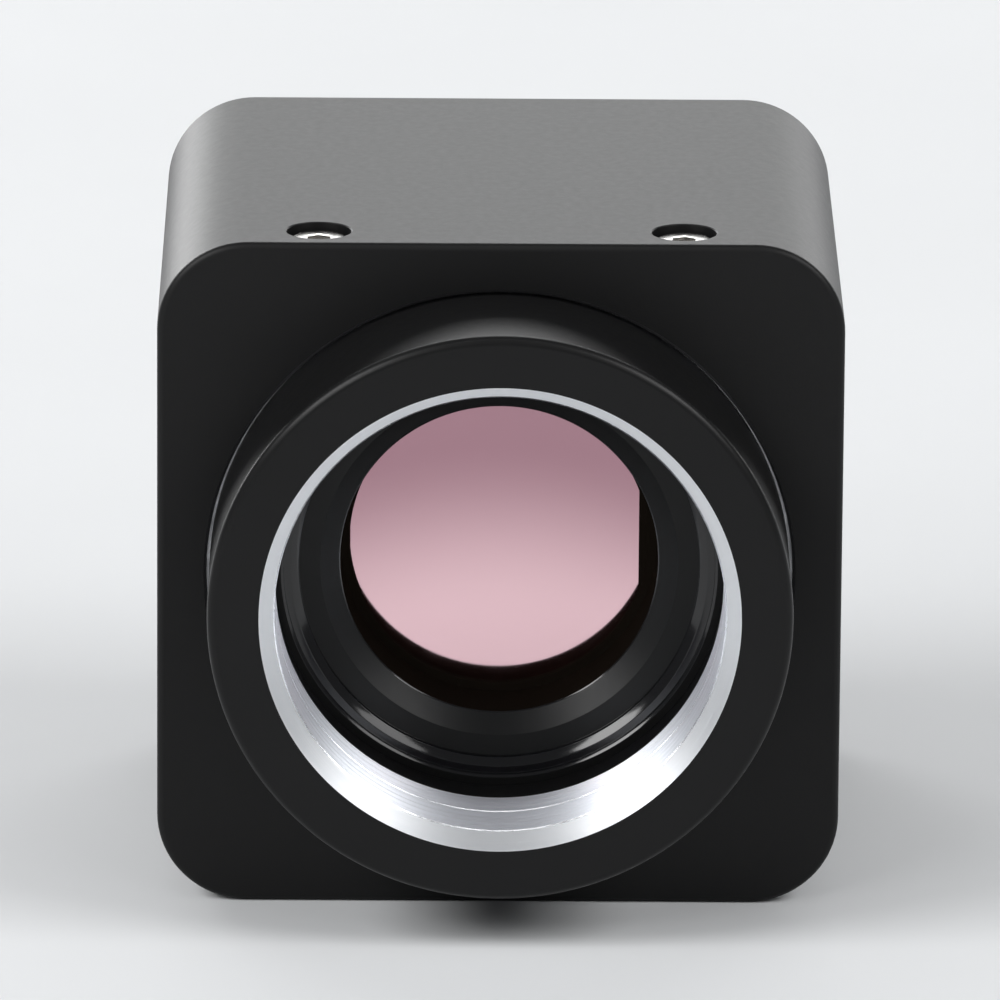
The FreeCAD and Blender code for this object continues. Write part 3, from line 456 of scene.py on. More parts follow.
def cut(item, cutters):
    """Cuts other objects out of an object, and removes them."""
    for cutter in cutters:
        boolean = item.modifiers.new("cut", "BOOLEAN")
        boolean.operation = "DIFFERENCE"
        boolean.solver = "EXACT"
        boolean.object = cutter
    graph = bpy.context.evaluated_depsgraph_get()
    shaped = bpy.data.meshes.new_from_object(item.evaluated_get(graph))
    item.modifiers.clear()
    item.data = shaped
    for cutter in cutters:
        bpy.data.objects.remove(cutter)


def piece(name, node, slot, bm, *finishes, cutters=(), crease=30):
    """A shown piece that stands for a part; its faces' slots count through its finishes."""
    item = bpy.data.objects.new(name, finished_mesh(bm, name))
    bpy.context.collection.objects.link(item)
    if cutters:
        cut(item, cutters)
        item.data.name = name
    for finish in finishes or (slot,):
        item.data.materials.append(FINISHES[finish])
    item.data.shade_smooth()
    item.data.set_sharp_from_angle(angle=math.radians(crease))
    weighted = item.modifiers.new("flat faces", "WEIGHTED_NORMAL")
    weighted.keep_sharp = True
    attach(item, "root")
    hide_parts(node)


# Cutters -------------------------------------------------------------------------------

def bore(radius, mouth, floor, axis, at, chamfer=0.0, steps=96, edge_slot=0):
    """A round cutter along Y or Z from an open mouth to a floor, with a chamfered edge."""
    away = 1 if mouth > floor else -1
    flare = radius + chamfer
    outside = mouth + away * OVERRUN
    profile = [
        (0, outside), (flare, outside), (flare, mouth),
        (radius, mouth - away * chamfer), (radius, floor), (0, floor),
    ]

    def slots(one, other):
        chamfered = min(one[0], other[0]) > 0 and one[0] != other[0]
        return edge_slot if chamfered else 0

    bm = bmesh.new()
    lathe(bm, profile, steps, closed=False, slots=slots)
    if axis == "z":
        bmesh.ops.rotate(bm, matrix=Matrix.Rotation(math.pi / 2, 3, "X"), verts=bm.verts)
        bmesh.ops.translate(bm, vec=(at[0], at[1], 0), verts=bm.verts)
    else:
        bmesh.ops.translate(bm, vec=(at[0], 0, at[1]), verts=bm.verts)
    return scratch(bm)


def prism(outline, front, back):
    """A cutter with one outline from front to back."""
    bm = bmesh.new()
    loft(bm, [across(outline, front), across(outline, back)])
    return scratch(bm)


def tapped(place, radius, length, pitch):
    """A cutter for a threaded hole with a countersunk mouth, made along Y and then placed."""
    steps = 48
    groove = 0.3 * pitch
    flare = radius + groove
    bm = bmesh.new()
    thread_band(bm, radius, groove, groove, length, pitch, steps, samples=6)
    mouth = [(0, -OVERRUN), (flare, -OVERRUN), (flare, 0), (radius, groove)]
    lathe(bm, mouth, steps, closed=False)
    lathe(bm, [(radius, length), (0, length)], steps, closed=False)
    bmesh.ops.transform(bm, matrix=place, verts=bm.verts)
    return scratch(bm)


# Housing -------------------------------------------------------------------------------

BODY_CORNER = 5.0
BODY_EDGE = 0.4
CAVITY_CORNER = 9.0
SIDE_WALL = 2.4
BASE_WALL = 3.6
COVER_RIM = 1.2
RING_GAP = 0.17
RING_BORE_EDGE = 0.16

HEAD_RADIUS = 1.5
HEAD_HEIGHT = 0.8
SCREW_SINK = 1.8
SINK_EDGE = 0.06
SCREW_HOLE = 0.82
FRONT_HOLE_DEPTH = 3.6
COVER_HOLE_SPARE = 0.4

BASE_HOLE_SIDE = 10.0
BASE_HOLE_ROW = 9.2
BASE_HOLE_PITCH = 15.0
BASE_HOLE_RADIUS = 1.25
BASE_HOLE_DEPTH = 3.0
BASE_THREAD = 0.5

EDGE_HIGHLIGHT_SLOT = 1

body_half = housing.right
screw_x = front_screws.right - HEAD_RADIUS
screw_y = (front_screws.front + front_screws.back) / 2
top_seat = front_screws.top - HEAD_HEIGHT
base_seat = front_screws.base + HEAD_HEIGHT
cover_screw_reach = cover_screws.right - HEAD_RADIUS
cover_screw_places = [
    (x, z)
    for x in (-cover_screw_reach, cover_screw_reach)
    for z in (-cover_screw_reach, cover_screw_reach)
]


def body_loop(depth, inset):
    """The body's outline at a depth, drawn in by an inset."""
    reach = body_half - inset
    return across(rounded_box(-reach, reach, -reach, reach, BODY_CORNER - inset, 20), depth)


def screw_sinks(x):
    """The sinks and holes in the top and in the base, on one side."""
    cutters = []
    for face, seat in ((body_half, top_seat), (-body_half, base_seat)):
        hole_end = seat - math.copysign(FRONT_HOLE_DEPTH, face)
        cutters.append(bore(SCREW_SINK, face, seat, "z", (x, screw_y), SINK_EDGE))
        cutters.append(bore(SCREW_HOLE, seat, hole_end, "z", (x, screw_y)))
    return cutters


def base_holes(x):
    """The threaded mounting holes in the base, on one side."""
    cutters = []
    first = housing.front + BASE_HOLE_ROW
    upwards = Matrix.Rotation(math.pi / 2, 4, "X")
    for row in (first, first + BASE_HOLE_PITCH):
        place = Matrix.Translation((math.copysign(BASE_HOLE_SIDE, x), row, -body_half)) @ upwards
        cutters.append(tapped(place, BASE_HOLE_RADIUS, BASE_HOLE_DEPTH, BASE_THREAD))
    return cutters


def make_housing():
    """The one-piece body with its cavity, the cover's rebate, the ring's bore and all holes."""
    bm = bmesh.new()
    turns = [math.radians(angle) for angle in range(0, 91, 15)]
    insets = [(BODY_EDGE * (1 - math.cos(t)), BODY_EDGE * (1 - math.sin(t))) for t in turns]
    loops = [body_loop(housing.front + into, inset) for into, inset in insets]
    loops += [body_loop(housing.back - into, inset) for into, inset in reversed(insets)]
    loft(bm, loops)
    side = body_half - SIDE_WALL
    cavity = rounded_box(-side, side, BASE_WALL - body_half, side, CAVITY_CORNER)
    reach = body_half - COVER_RIM
    rebate = rounded_box(-reach, reach, -reach, reach, BODY_CORNER - COVER_RIM)
    cutters = [
        prism(cavity, mount_block.front, housing.back + OVERRUN),
        prism(rebate, cover.front, housing.back + OVERRUN),
        # The chamfer round the ring's bore takes the lighter black, a painted highlight
        bore(ring.right + RING_GAP, housing.front, ring.back, "y", (0, 0), RING_BORE_EDGE,
             steps=256, edge_slot=EDGE_HIGHLIGHT_SLOT),
    ]
    for x in (-screw_x, screw_x):
        cutters += screw_sinks(x)
        cutters += base_holes(x)
    hole_end = cover_screws.front - COVER_HOLE_SPARE
    for place in cover_screw_places:
        cutters.append(bore(SCREW_HOLE, cover.front, hole_end, "y", place))
    piece("housing_shell", "housing", "black_anodised", bm,
          "black_anodised", "black_edge_highlight", cutters=cutters)


# Lens mount ring -----------------------------------------------------------------------

THREAD_PITCH = 25.4 / 32
THREAD_CREST = 12.4
THREAD_DEPTH = 0.07
THREAD_END = 7.25
MOUTH_RADIUS = 13.23
MOUTH_DEPTH = 1.17
MOUTH_LIP = 0.07
BARE_RADIUS = MOUTH_RADIUS + 0.02
SPIGOT_RADIUS = 14.05
CLAMP_RADIUS = 13.05
RELIEF_RADIUS = 12.6
GROOVE_BEYOND_MIDDLE = 0.4
RING_STEPS = 384

# The fine line in the thread: distance along, depth
GROOVE_LINE = ((0, 0), (0.05, 0.07), (0.09, 0.07), (0.165, 0))

OUTSIDE_SLOT, BARE_SLOT, CHAMFER_SLOT, HIGHLIGHT_SLOT = range(4)


def make_ring():
    """The lens mount: black outside, bare metal in its chamfered mouth and its thread."""
    bm = bmesh.new()
    lip = MOUTH_DEPTH + MOUTH_LIP
    corners = [
        (THREAD_CREST, lip, 0), (THREAD_CREST + MOUTH_LIP, MOUTH_DEPTH, 0),
        (MOUTH_RADIUS, 0, 0.06), (ring.right, 0, 0.5), (ring.right, shim.front, 0.1),
        (SPIGOT_RADIUS, shim.front, 0.05), (SPIGOT_RADIUS, ring.back, 0.15),
        (CLAMP_RADIUS, ring.back, 0.1), (CLAMP_RADIUS, holder.front, 0),
        (RELIEF_RADIUS, holder.front, 0.05), (RELIEF_RADIUS, THREAD_END, 0.02),
        (THREAD_CREST, THREAD_END, 0),
    ]

    def slots(one, other):
        radius = (one[0] + other[0]) / 2
        depth = (one[1] + other[1]) / 2
        if radius > BARE_RADIUS or depth > THREAD_END + NEAR:
            return OUTSIDE_SLOT
        # The chamfer takes the lighter metal, painted light
        if depth < MOUTH_DEPTH:
            return CHAMFER_SLOT
        # The lip takes the lighter, smoother metal: a painted highlight
        return HIGHLIGHT_SLOT if depth < lip and radius > THREAD_CREST + NEAR else BARE_SLOT

    lathe(bm, softened(corners, 10), RING_STEPS, closed=False, slots=slots)

    def groove_slots(one, other):
        # The fine line's front flank takes the painted highlight
        return HIGHLIGHT_SLOT if one[0] > other[0] else BARE_SLOT

    groove = (MOUTH_DEPTH + THREAD_END) / 2 + GROOVE_BEYOND_MIDDLE
    line = [(THREAD_CREST + deep, groove + along) for along, deep in GROOVE_LINE]
    lathe(bm, line, RING_STEPS, closed=False, slots=groove_slots)
    for start, end in ((lip, groove), (line[-1][1], THREAD_END)):
        thread_band(bm, THREAD_CREST, THREAD_DEPTH, start, end, THREAD_PITCH, RING_STEPS,
                    slot=BARE_SLOT)
    piece("mount_ring", "lens_mount_ring", "mount_ring", bm,
          "mount_ring", "bare_aluminium", "chamfer_aluminium_lit", "polished_edge_highlight", crease=24)


# Filter holder and filter --------------------------------------------------------------

RECESS_DEPTH = 1.0
THROAT_DEPTH = 1.9
SHOULDER_DEPTH = 2.0
WEB = 0.5
BORE_RADIUS = 8.85
RIM_WIDTH = 0.07
RIM_FALL = 0.55 * RIM_WIDTH
CONE_RADIUS = 9.98
BEAD_INSIDE = 11.15
BEAD_RADIUS = 11.60
BEAD_STEP = 0.36
BEAD_HEIGHT = 0.62
WALL_RADIUS = 12.0
LIP_RADIUS = 12.14
LIP_DEPTH = 0.08
SHOULDER_RADIUS = 13.0
TUBE_RADIUS = 11.05
POCKET_RADIUS = 9.75
WINDOW_RADIUS = 8.35
WINDOW_LEFT = -8.32
WINDOW_RIGHT = 7.85
WINDOW_EDGE = 0.03
FILTER_EDGE = 0.08
BORE_LIMIT = BORE_RADIUS + 0.002
GLOSS_START = BEAD_INSIDE - 0.05
GLOSS_END = LIP_RADIUS + 0.06
HOLDER_STEPS = 256

BORE_SLOT, RECESS_SLOT, CONE_SLOT, GLOSS_SLOT = range(4)


def arc_and_flats(radius, left, right):
    """A circle that is cut straight at its left and right."""
    steps = 48
    upper = []
    for edge, sign in ((right, 1), (left, -1)):
        start = math.acos(min(1.0, abs(edge) / radius))
        arc = [start + (math.pi / 2 - start) * step / steps for step in range(steps + 1)]
        side = [(sign * radius * math.cos(angle), radius * math.sin(angle)) for angle in arc]
        upper += side if sign > 0 else side[-2::-1]
    return upper + [(a, -b) for a, b in reversed(upper)]


def make_filter_holder():
    """A turned insert: recess with a raised bead, cone, bore, window, and a tube behind."""
    bm = bmesh.new()
    front, back = holder.front, holder.back
    floor, throat, shoulder = front + RECESS_DEPTH, front + THROAT_DEPTH, front + SHOULDER_DEPTH
    ledge, pocket = glass.front - WEB, glass.front
    corners = [
        (0, ledge, 0), (BORE_RADIUS, ledge, 0.03), (BORE_RADIUS, throat, 0.02),
        (BORE_RADIUS + RIM_WIDTH, throat - RIM_FALL, 0), (CONE_RADIUS, floor, 0.04),
        (BEAD_INSIDE, floor, 0.02), (BEAD_INSIDE, floor - BEAD_STEP, 0.06),
        (BEAD_RADIUS, floor - BEAD_HEIGHT, 0.12), (WALL_RADIUS, floor - BEAD_HEIGHT, 0.02),
        (WALL_RADIUS, front + LIP_DEPTH, 0.02), (LIP_RADIUS, front, 0.04),
        (SHOULDER_RADIUS, front, 0.05), (SHOULDER_RADIUS, shoulder, 0.1),
        (TUBE_RADIUS, shoulder, 0), (TUBE_RADIUS, back, 0.1),
        (POCKET_RADIUS, back, 0), (POCKET_RADIUS, pocket, 0), (0, pocket, 0),
    ]

    def slots(one, other):
        radius = (one[0] + other[0]) / 2
        depth = (one[1] + other[1]) / 2
        if depth <= floor + NEAR:
            return GLOSS_SLOT if GLOSS_START < radius < GLOSS_END else RECESS_SLOT
        if radius <= BORE_LIMIT or radius > CONE_RADIUS + NEAR:
            return BORE_SLOT
        # The cone takes the darker black, painted shade
        return GLOSS_SLOT if radius < BORE_RADIUS + RIM_WIDTH else CONE_SLOT

    lathe(bm, softened(corners, 6), HOLDER_STEPS, closed=False, slots=slots)
    middle = (ledge + pocket) / 2
    flats = arc_and_flats(WINDOW_RADIUS, WINDOW_LEFT, WINDOW_RIGHT)
    cutters = [
        bore(WINDOW_RADIUS, ledge, middle, "y", (0, 0), WINDOW_EDGE, steps=HOLDER_STEPS),
        prism(flats, middle - OVERLAP, pocket + OVERLAP),
    ]
    piece("holder", "filter_holder", "black_insert", bm,
          "black_bore", "black_insert", "black_cone_shaded", "black_gloss", cutters=cutters)


def make_filter():
    bm = bmesh.new()
    corners = [
        (0, glass.front, 0), (glass.right, glass.front, FILTER_EDGE),
        (glass.right, glass.back, FILTER_EDGE), (0, glass.back, 0),
    ]
    lathe(bm, softened(corners, 3), HOLDER_STEPS, closed=False)
    piece("filter_disc", "ir_cut_filter", "filter_glass", bm)


# Rear cover ----------------------------------------------------------------------------

COVER_CORNER = 3.75
COVER_EDGE = 0.2
COVER_GRIP = 0.8
COVER_SINK = 1.6
COVER_HOLE_EDGE = 0.12
BARREL_HOLE_EDGE = 0.1
PANEL_FIT = 0.2
PANEL_ROUNDING = 0.1
LOCK_SIDE = 9.0
LOCK_RADIUS = 0.8
LOCK_DEPTH = 3.0
LOCK_THREAD = 0.4
LIGHT_RADIUS = 1.0

USB_WALL = 0.3
USB_SLOPE = 0.725
USB_WAIST = 0.1
USB_SPLIT = 6.9
USB_ROUNDING = 0.12

IO_FLANGE_STEP = 1.3
IO_BARREL_STEP = 0.4
IO_NOSE_WALL = 0.6

usb_half = usb_shell.right - USB_WALL
usb_split = USB_SPLIT - usb_half
usb_rise = usb_shell.middle[1]
io_flange = (io_shell.right - io_shell.left) / 2
io_barrel = io_flange - IO_FLANGE_STEP
io_nose = io_barrel - IO_BARREL_STEP
io_bore = io_nose - IO_NOSE_WALL


def usb_outline(grow, rounding=USB_ROUNDING):
    """The micro-B socket's outline: a part with sloped sides, and a plain part beside it."""
    side = usb_half + grow
    top = (usb_shell.top - usb_shell.base) / 2 - USB_WALL + grow
    inner = usb_split - USB_SLOPE + grow / 2
    middle = usb_split + grow / 2
    outer = usb_split + USB_SLOPE - grow / 2
    corners = (
        (-side, top), (-side, USB_WAIST), (USB_SLOPE - side, -top), (inner, -top),
        (middle, -USB_WAIST - grow), (outer, -USB_WAIST - grow), (outer, -top),
        (side, -top), (side, top),
    )
    rounded = softened([(a, b, rounding) for a, b in corners], 4)
    return [(a, b + usb_rise) for a, b in rounded]


def make_rear_cover():
    """The rear panel with its openings, screw sinks and two lock holes."""
    bm = bmesh.new()
    bend = 0.3 * COVER_EDGE
    sections = (
        (cover.front, 0), (cover.back - COVER_EDGE, 0),
        (cover.back - bend, bend), (cover.back, COVER_EDGE),
    )
    loops = []
    for depth, inset in sections:
        reach = cover.right - inset
        outline = rounded_box(-reach, reach, -reach, reach, COVER_CORNER - inset)
        loops.append(across(outline, depth))
    loft(bm, loops)
    seat = cover.front + COVER_GRIP
    beyond = cover.front - OVERRUN
    cutters = [
        bore(io_barrel + FIT, cover.back, beyond, "y", io_shell.middle, BARREL_HOLE_EDGE),
        bore(LIGHT_RADIUS + FIT, cover.back, beyond, "y", light_pipe.middle, COVER_HOLE_EDGE),
        prism(usb_outline(USB_WALL + PANEL_FIT, PANEL_ROUNDING), beyond, cover.back + OVERRUN),
    ]
    for place in cover_screw_places:
        cutters.append(bore(COVER_SINK, cover.back, seat, "y", place, COVER_HOLE_EDGE))
        cutters.append(bore(SCREW_HOLE, seat + OVERRUN / 2, beyond, "y", place))
    forwards = Matrix.Rotation(math.pi, 4, "X")
    for side in (-LOCK_SIDE, LOCK_SIDE):
        place = Matrix.Translation((side, cover.back, usb_rise)) @ forwards
        cutters.append(tapped(place, LOCK_RADIUS, LOCK_DEPTH, LOCK_THREAD))
    piece("rear_panel", "rear_cover", "black_anodised", bm, cutters=cutters)


# Sockets and status light --------------------------------------------------------------

USB_OUTER_ROUNDING = 0.2
USB_EDGE = 0.06
USB_EDGE_DEPTH = 0.08
USB_LEAD_IN = 0.08
USB_LEAD_IN_DEPTH = 0.12
USB_BASE = 2.0
TONGUE_RISE = 0.46
TONGUE_HALF = 0.3
TONGUE_GAP = 0.725
TONGUE_EDGE = 0.1
TONGUE_EDGE_DEPTH = 0.12
CONTACTS = 5
CONTACT_HALF = 0.14
CONTACT_PROUD = 0.02
CONTACT_SUNK = 0.1
CONTACT_CORNER = 0.03
CONTACT_BACK = 0.25

IO_FLANGE_DEPTH = 1.0
KEY_HALF = 0.6
KEY_DEPTH = 0.3
DISH_RADIUS = 0.8
DISH_DEPTH = 0.3
PIN_CIRCLE = 2.2
PIN_RADIUS = 0.25
PIN_COUNT = 6

COLLAR_DEPTH = 1.0

# The groove round the nose: distance from the mouth, depth
IO_GROOVE_LINE = ((1.5, 0), (1.3, 0.2), (0.9, 0.2), (0.7, 0))

INSERT_SLOT, CONTACT_SLOT = range(2)


def make_usb_shell():
    front, mouth = usb_shell.front, usb_shell.back
    outside = usb_outline(USB_WALL, USB_OUTER_ROUNDING)
    edge = usb_outline(USB_WALL - USB_EDGE, USB_OUTER_ROUNDING)
    inside = usb_outline(0)
    bm = bmesh.new()
    loft(bm, [
        across(outside, front), across(outside, mouth - USB_EDGE_DEPTH), across(edge, mouth),
        across(usb_outline(USB_LEAD_IN), mouth), across(inside, mouth - USB_LEAD_IN_DEPTH),
        across(inside, front),
    ], tube=True)
    piece("usb_socket_shell", "usb_shell", "socket_shell", bm)


def add_tongue(bm, left, right, start, tip):
    """One contact tongue with its row of strips."""
    low = usb_rise + TONGUE_RISE - TONGUE_HALF
    high = usb_rise + TONGUE_RISE + TONGUE_HALF
    sections = ((start - OVERLAP, 0), (tip - TONGUE_EDGE_DEPTH, 0), (tip, TONGUE_EDGE))
    loops = []
    for depth, inset in sections:
        outline = rounded_box(left + inset, right - inset, low + inset, high - inset, TONGUE_EDGE, 4)
        loops.append(across(outline, depth))
    loft(bm, loops, slot=INSERT_SLOT)
    pitch = (right - left) / CONTACTS
    for index in range(CONTACTS):
        middle = left + pitch * (index + 0.5)
        strip = rounded_box(middle - CONTACT_HALF, middle + CONTACT_HALF,
                            low - CONTACT_PROUD, low + CONTACT_SUNK, CONTACT_CORNER, 3)
        loft(bm, [across(strip, start), across(strip, tip - CONTACT_BACK)], slot=CONTACT_SLOT)


def make_usb_tongues():
    start, tip = usb_tongues.front + USB_BASE, usb_tongues.back
    bm = bmesh.new()
    loft(bm, [across(usb_outline(-FIT), depth) for depth in (usb_tongues.front, start)])
    gap = USB_SLOPE + TONGUE_GAP
    add_tongue(bm, gap - usb_half, usb_split - gap, start, tip)
    add_tongue(bm, usb_split + gap, usb_half - TONGUE_GAP, start, tip)
    piece("usb_contact_tongues", "usb_tongues", "socket_insert", bm,
          "socket_insert", "gold_contact")


def make_io_shell():
    tail, mouth = io_shell.front, io_shell.back
    flange_end = cover.back + IO_FLANGE_DEPTH
    groove = [(io_nose - deep, mouth - behind, 0.05) for behind, deep in IO_GROOVE_LINE]
    corners = [
        (io_bore, tail, 0.1), (io_barrel, tail, 0.15), (io_barrel, cover.back, 0),
        (io_flange, cover.back, 0.12), (io_flange, flange_end, 0.25), (io_nose, flange_end, 0.15),
        *groove, (io_nose, mouth, 0.2), (io_bore, mouth, 0.2),
    ]
    bm = bmesh.new()
    lathe(bm, softened(corners, 5), 160, at=io_shell.middle)
    x, z = io_shell.middle
    left, right, top = x - KEY_HALF, x + KEY_HALF, z + io_bore + KEY_DEPTH
    keyway = softened([(left, z, 0), (right, z, 0), (right, top, 0.12), (left, top, 0.12)], 4)
    piece("io_socket_shell", "io_shell", "socket_shell", bm,
          cutters=[prism(keyway, io_insert.back, mouth + OVERRUN)])


def pin_places():
    """Equal steps round the socket's axis."""
    x, z = io_shell.middle
    turns = [TAU * index / PIN_COUNT for index in range(PIN_COUNT)]
    return [(x + PIN_CIRCLE * math.sin(turn), z + PIN_CIRCLE * math.cos(turn)) for turn in turns]


def make_io_insert():
    radius = io_insert.right - io_shell.middle[0]
    tail, face = io_shell.front, io_insert.back
    corners = [
        (0, tail, 0), (radius, tail, 0.1), (radius, face, 0.12), (DISH_RADIUS, face, 0.1),
        (DISH_RADIUS, face - DISH_DEPTH, 0.05), (0, face - DISH_DEPTH, 0),
    ]
    bm = bmesh.new()
    lathe(bm, softened(corners, 4), 128, at=io_shell.middle, closed=False)
    cutters = [
        bore(PIN_RADIUS + FIT, face, tail - OVERRUN, "y", place, 0.12, steps=32)
        for place in pin_places()
    ]
    piece("io_socket_insert", "io_insert", "socket_insert", bm, cutters=cutters)


def make_io_pins():
    corners = [
        (0, io_pins.front, 0), (PIN_RADIUS, io_pins.front, 0.05),
        (PIN_RADIUS, io_pins.back, 0.2), (0, io_pins.back, 0),
    ]
    bm = bmesh.new()
    for place in pin_places():
        lathe(bm, softened(corners, 6), 32, at=place, closed=False)
    piece("io_socket_pins", "io_pins", "gold_contact", bm)


def make_light_pipe():
    collar = light_pipe.right - light_pipe.middle[0]
    collar_front = cover.front - COLLAR_DEPTH
    corners = [
        (0, light_pipe.front, 0), (LIGHT_RADIUS, light_pipe.front, 0.1),
        (LIGHT_RADIUS, collar_front, 0), (collar, collar_front, 0.1), (collar, cover.front, 0.05),
        (LIGHT_RADIUS, cover.front, 0), (LIGHT_RADIUS, light_pipe.back, 0.5), (0, light_pipe.back, 0),
    ]
    bm = bmesh.new()
    lathe(bm, softened(corners, 8), 96, at=light_pipe.middle, closed=False)
    piece("status_light_pipe", "light_pipe", "clear_plastic", bm)


# Screws --------------------------------------------------------------------------------

HEAD_RISE = 0.12
HEAD_EDGE = 0.14
SHANK_RADIUS = 0.8
FRONT_SCREW_LENGTH = 3.6
COVER_SCREW_LENGTH = 3.3
SOCKET_FLATS = 1.2
SOCKET_SHARE = 0.65
SOCKET_EDGE = 0.05
SOCKET_MOUTH = 1.06
CUTTER_RISE = 0.3
CUTTER_FLARE = 1.5

# How the sockets are turned, in radians
LEFT_TURN = math.radians(32)
RIGHT_TURN = math.radians(24)
COVER_SCREW_TURN = 0.7


def screw_mesh(head_height, length):
    """A pan-head screw along Y, its head's seat at the origin."""
    bm = bmesh.new()
    corners = [
        (0, -head_height, 0), (HEAD_RADIUS, -head_height, HEAD_EDGE), (HEAD_RADIUS, 0, 0.04),
        (SHANK_RADIUS, 0, 0), (SHANK_RADIUS, length, 0.15), (0, length, 0),
    ]
    lathe(bm, softened(corners, 6), 64, closed=False)
    return bm


def socket_cutter(head_height):
    """A hexagon socket with a flared mouth, for the same screw.

    Its depth is a share of the head's height, and its mouth is wider by a factor.
    """
    reach = SOCKET_FLATS / math.sqrt(3)
    hexagon = [(reach * math.cos(TAU * k / 6), reach * math.sin(TAU * k / 6)) for k in range(6)]
    top = -head_height
    sections = (
        (top - CUTTER_RISE, CUTTER_FLARE), (top, SOCKET_MOUTH),
        (top + SOCKET_EDGE, 1), (top + SOCKET_SHARE * head_height, 1),
    )
    bm = bmesh.new()
    loft(bm, [across([(a * size, b * size) for a, b in hexagon], depth) for depth, size in sections])
    return bm


def screws(name, node, head_height, length, places):
    """Equal screws in one piece, each put in place by a matrix."""
    screw = scratch(screw_mesh(head_height, length))
    cut(screw, [scratch(socket_cutter(head_height))])
    in_millimetres = Matrix.Scale(1 / MM, 4)
    bm = bmesh.new()
    for place in places:
        copy = screw.data.copy()
        copy.transform(place @ in_millimetres)
        bm.from_mesh(copy)
    bpy.data.objects.remove(screw)
    piece(name, node, "steel", bm)


def make_front_screws():
    """Two screws in the top, pointing down, and two in the base, pointing up."""
    down = Matrix.Rotation(-math.pi / 2, 4, "X")
    up = Matrix.Rotation(math.pi / 2, 4, "X")
    places = []
    for turn, x in ((LEFT_TURN, -screw_x), (RIGHT_TURN, screw_x)):
        spin = Matrix.Rotation(turn, 4, "Z")
        for seat, pointing in ((top_seat, down), (base_seat, up)):
            places.append(Matrix.Translation((x, screw_y, seat)) @ spin @ pointing)
    screws("front_screw_set", "front_screws", HEAD_HEIGHT + HEAD_RISE, FRONT_SCREW_LENGTH, places)


def make_cover_screws():
    seat = cover_screws.back - HEAD_HEIGHT
    forwards = Matrix.Rotation(math.pi, 4, "X")
    places = []
    for index, (x, z) in enumerate(((1, 1), (-1, 1), (-1, -1), (1, -1))):
        place = Matrix.Translation((x * cover_screw_reach, seat, z * cover_screw_reach))
        spin = Matrix.Rotation(COVER_SCREW_TURN * index, 4, "Y")
        places.append(place @ forwards @ spin)
    screws("cover_screw_set", "rear_cover_screws", HEAD_HEIGHT, COVER_SCREW_LENGTH, places)


make_housing()
make_ring()
make_filter_holder()
make_filter()
make_rear_cover()
make_usb_shell()
make_usb_tongues()
make_io_shell()
make_io_insert()
make_io_pins()
make_light_pipe()
make_front_screws()
make_cover_screws()


# Inner parts, shown as the solids are --------------------------------------------------

INNER_PARTS = {
    "focus_shim": "steel", "mount_block": "block_metal", "filter_gasket": "sealing_rubber",
    "sensor_package": "ceramic", "sensor_die": "silicon", "sensor_glass": "cover_glass",
    "sensor_board": "board", "processor_board": "board", "interface_board": "board",
    "front_spacers": "steel", "middle_spacers": "steel", "rear_spacers": "steel",
    "board_screws": "steel", "sensor_plug": "socket_insert", "sensor_socket": "socket_insert",
    "link_plug": "socket_insert", "link_socket": "socket_insert", "processor_chip": "chip_plastic",
    "thermal_pad": "thermal_silicone", "memory_chips": "chip_plastic",
    "interface_chip": "chip_plastic", "power_inductors": "chip_plastic",
    "heat_spreader": "spreader_metal", "io_nut": "socket_shell", "status_led": "ceramic",
}
for name, finish in INNER_PARTS.items():
    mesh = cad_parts[name].data
    mesh.materials.clear()
    mesh.materials.append(FINISHES[finish])


# Floor, in metres ----------------------------------------------------------------------

FLOOR_FRONT = -1.6
FLOOR_BACK = 0.8
FLOOR_HALF = 1.8
BEND_RADIUS = 0.25
BEND_STEPS = 12
WALL_TOP = 1.6
PAPER_COLOURS = ((0.62, 0.63, 0.64), (0.65, 0.66, 0.67))
PAPER_PATCHES = 40.0  # in millimetres


def make_floor():
    """A pale floor that bends up into a wall behind the object."""
    base = housing.base * MM
    line = [(FLOOR_FRONT, base), (FLOOR_BACK, base)]
    for step in range(1, BEND_STEPS + 1):
        angle = math.pi / 2 * step / BEND_STEPS
        rise = BEND_RADIUS * (1 - math.cos(angle))
        line.append((FLOOR_BACK + BEND_RADIUS * math.sin(angle), base + rise))
    line.append((FLOOR_BACK + BEND_RADIUS, WALL_TOP))
    bm = bmesh.new()
    left, right = ([bm.verts.new((x, y, z)) for y, z in line] for x in (-FLOOR_HALF, FLOOR_HALF))
    for index in range(len(line) - 1):
        bm.faces.new((left[index], right[index], right[index + 1], left[index + 1]))
    mesh = bpy.data.meshes.new("floor")
    bm.to_mesh(mesh)
    bm.free()
    mesh.shade_smooth()
    paper = Finish("paper")
    paper.set(Metallic=0.0, Specular_IOR_Level=0.2, Roughness=0.8)
    paper.colour(paper.blend(paper.noise(PAPER_PATCHES, 3.0), *PAPER_COLOURS))
    mesh.materials.append(paper.material)
    floor = bpy.data.objects.new("floor", mesh)
    bpy.context.collection.objects.link(floor)


# Lamps and camera ----------------------------------------------------------------------

LAMP_TARGET = Vector((0, 0.02, 0))

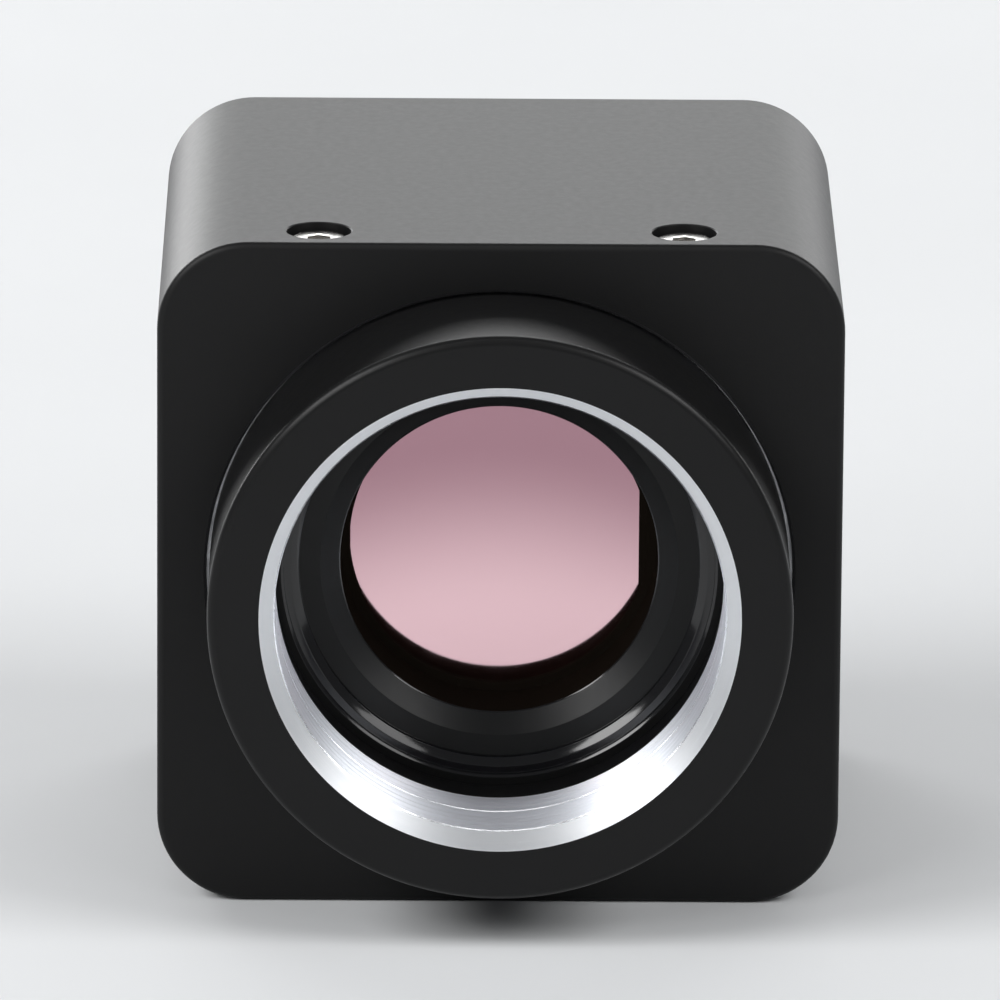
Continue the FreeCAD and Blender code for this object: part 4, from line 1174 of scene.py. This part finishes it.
# Place, width and height in metres, power in watts
LAMPS = {
    "left_box": ((-0.62, -0.30, 0.62), 0.50, 0.40, 5.6),
    "right_box": ((0.62, -0.30, 0.62), 0.50, 0.40, 4.7),
    "left_front_box": ((-0.50, -0.70, 0.50), 0.30, 0.25, 1.8),
    "right_front_box": ((0.50, -0.70, 0.50), 0.30, 0.25, 0.7),
    "top_strip": ((0, -0.20, 0.90), 0.60, 0.05, 0.35),
    "left_rear_box": ((-0.42, 0.72, 0.16), 0.36, 0.30, 2.3),
    "right_rear_box": ((0.42, 0.72, 0.16), 0.36, 0.30, 0.8),
    "rear_box": ((0, 0.78, 0.30), 1.2, 0.35, 3.8),
}
SKY_COLOUR = (0.80, 0.81, 0.83)
SKY_STRENGTH = 0.20

# Angles in degrees, distance, centre and sensor in millimetres, focal length in sensor widths
VIEW_PITCH = 16.04
VIEW_YAW = 0.379
VIEW_ROLL = 0.422
VIEW_DISTANCE = 713.6
VIEW_CENTRE = (-0.06, 0, 6.91)
SENSOR_WIDTH = 36
FOCAL_RATIO = 13.052
NEAREST = 0.01  # in metres
FARTHEST = 20  # in metres


def make_lamps():
    for name, (place, width, height, power) in LAMPS.items():
        data = bpy.data.lights.new(name, "AREA")
        data.shape = "RECTANGLE"
        data.size = width
        data.size_y = height
        data.energy = power
        lamp = bpy.data.objects.new(name, data)
        lamp.location = place
        lamp.rotation_euler = (LAMP_TARGET - Vector(place)).to_track_quat("-Z", "Y").to_euler()
        bpy.context.collection.objects.link(lamp)


def make_sky():
    world = bpy.data.worlds.new("studio")
    bpy.context.scene.world = world
    world.use_nodes = True
    background = world.node_tree.nodes["Background"]
    background.inputs["Color"].default_value = (*SKY_COLOUR, 1)
    background.inputs["Strength"].default_value = SKY_STRENGTH


def make_camera():
    """Looks down at the front, with its axes worked out from pitch, yaw and roll."""
    pitch, yaw, roll = (math.radians(angle) for angle in (VIEW_PITCH, VIEW_YAW, VIEW_ROLL))
    level = math.cos(pitch)
    ahead = Vector((math.sin(yaw) * level, math.cos(yaw) * level, -math.sin(pitch)))
    right = Vector((math.cos(yaw), -math.sin(yaw), 0))
    above = right.cross(ahead)
    rolled_right = math.cos(roll) * right + math.sin(roll) * above
    rolled_up = -math.sin(roll) * right + math.cos(roll) * above
    data = bpy.data.cameras.new("camera")
    data.sensor_width = SENSOR_WIDTH
    data.lens = FOCAL_RATIO * SENSOR_WIDTH
    data.clip_start = NEAREST
    data.clip_end = FARTHEST
    camera = bpy.data.objects.new("camera", data)
    bpy.context.collection.objects.link(camera)
    place = (Vector(VIEW_CENTRE) - VIEW_DISTANCE * ahead) * MM
    turned = Matrix((rolled_right, rolled_up, -ahead)).transposed().to_4x4()
    camera.matrix_world = Matrix.Translation(place) @ turned
    bpy.context.scene.camera = camera
    bpy.context.scene.view_settings.view_transform = "Standard"


make_floor()
make_lamps()
make_sky()
make_camera()
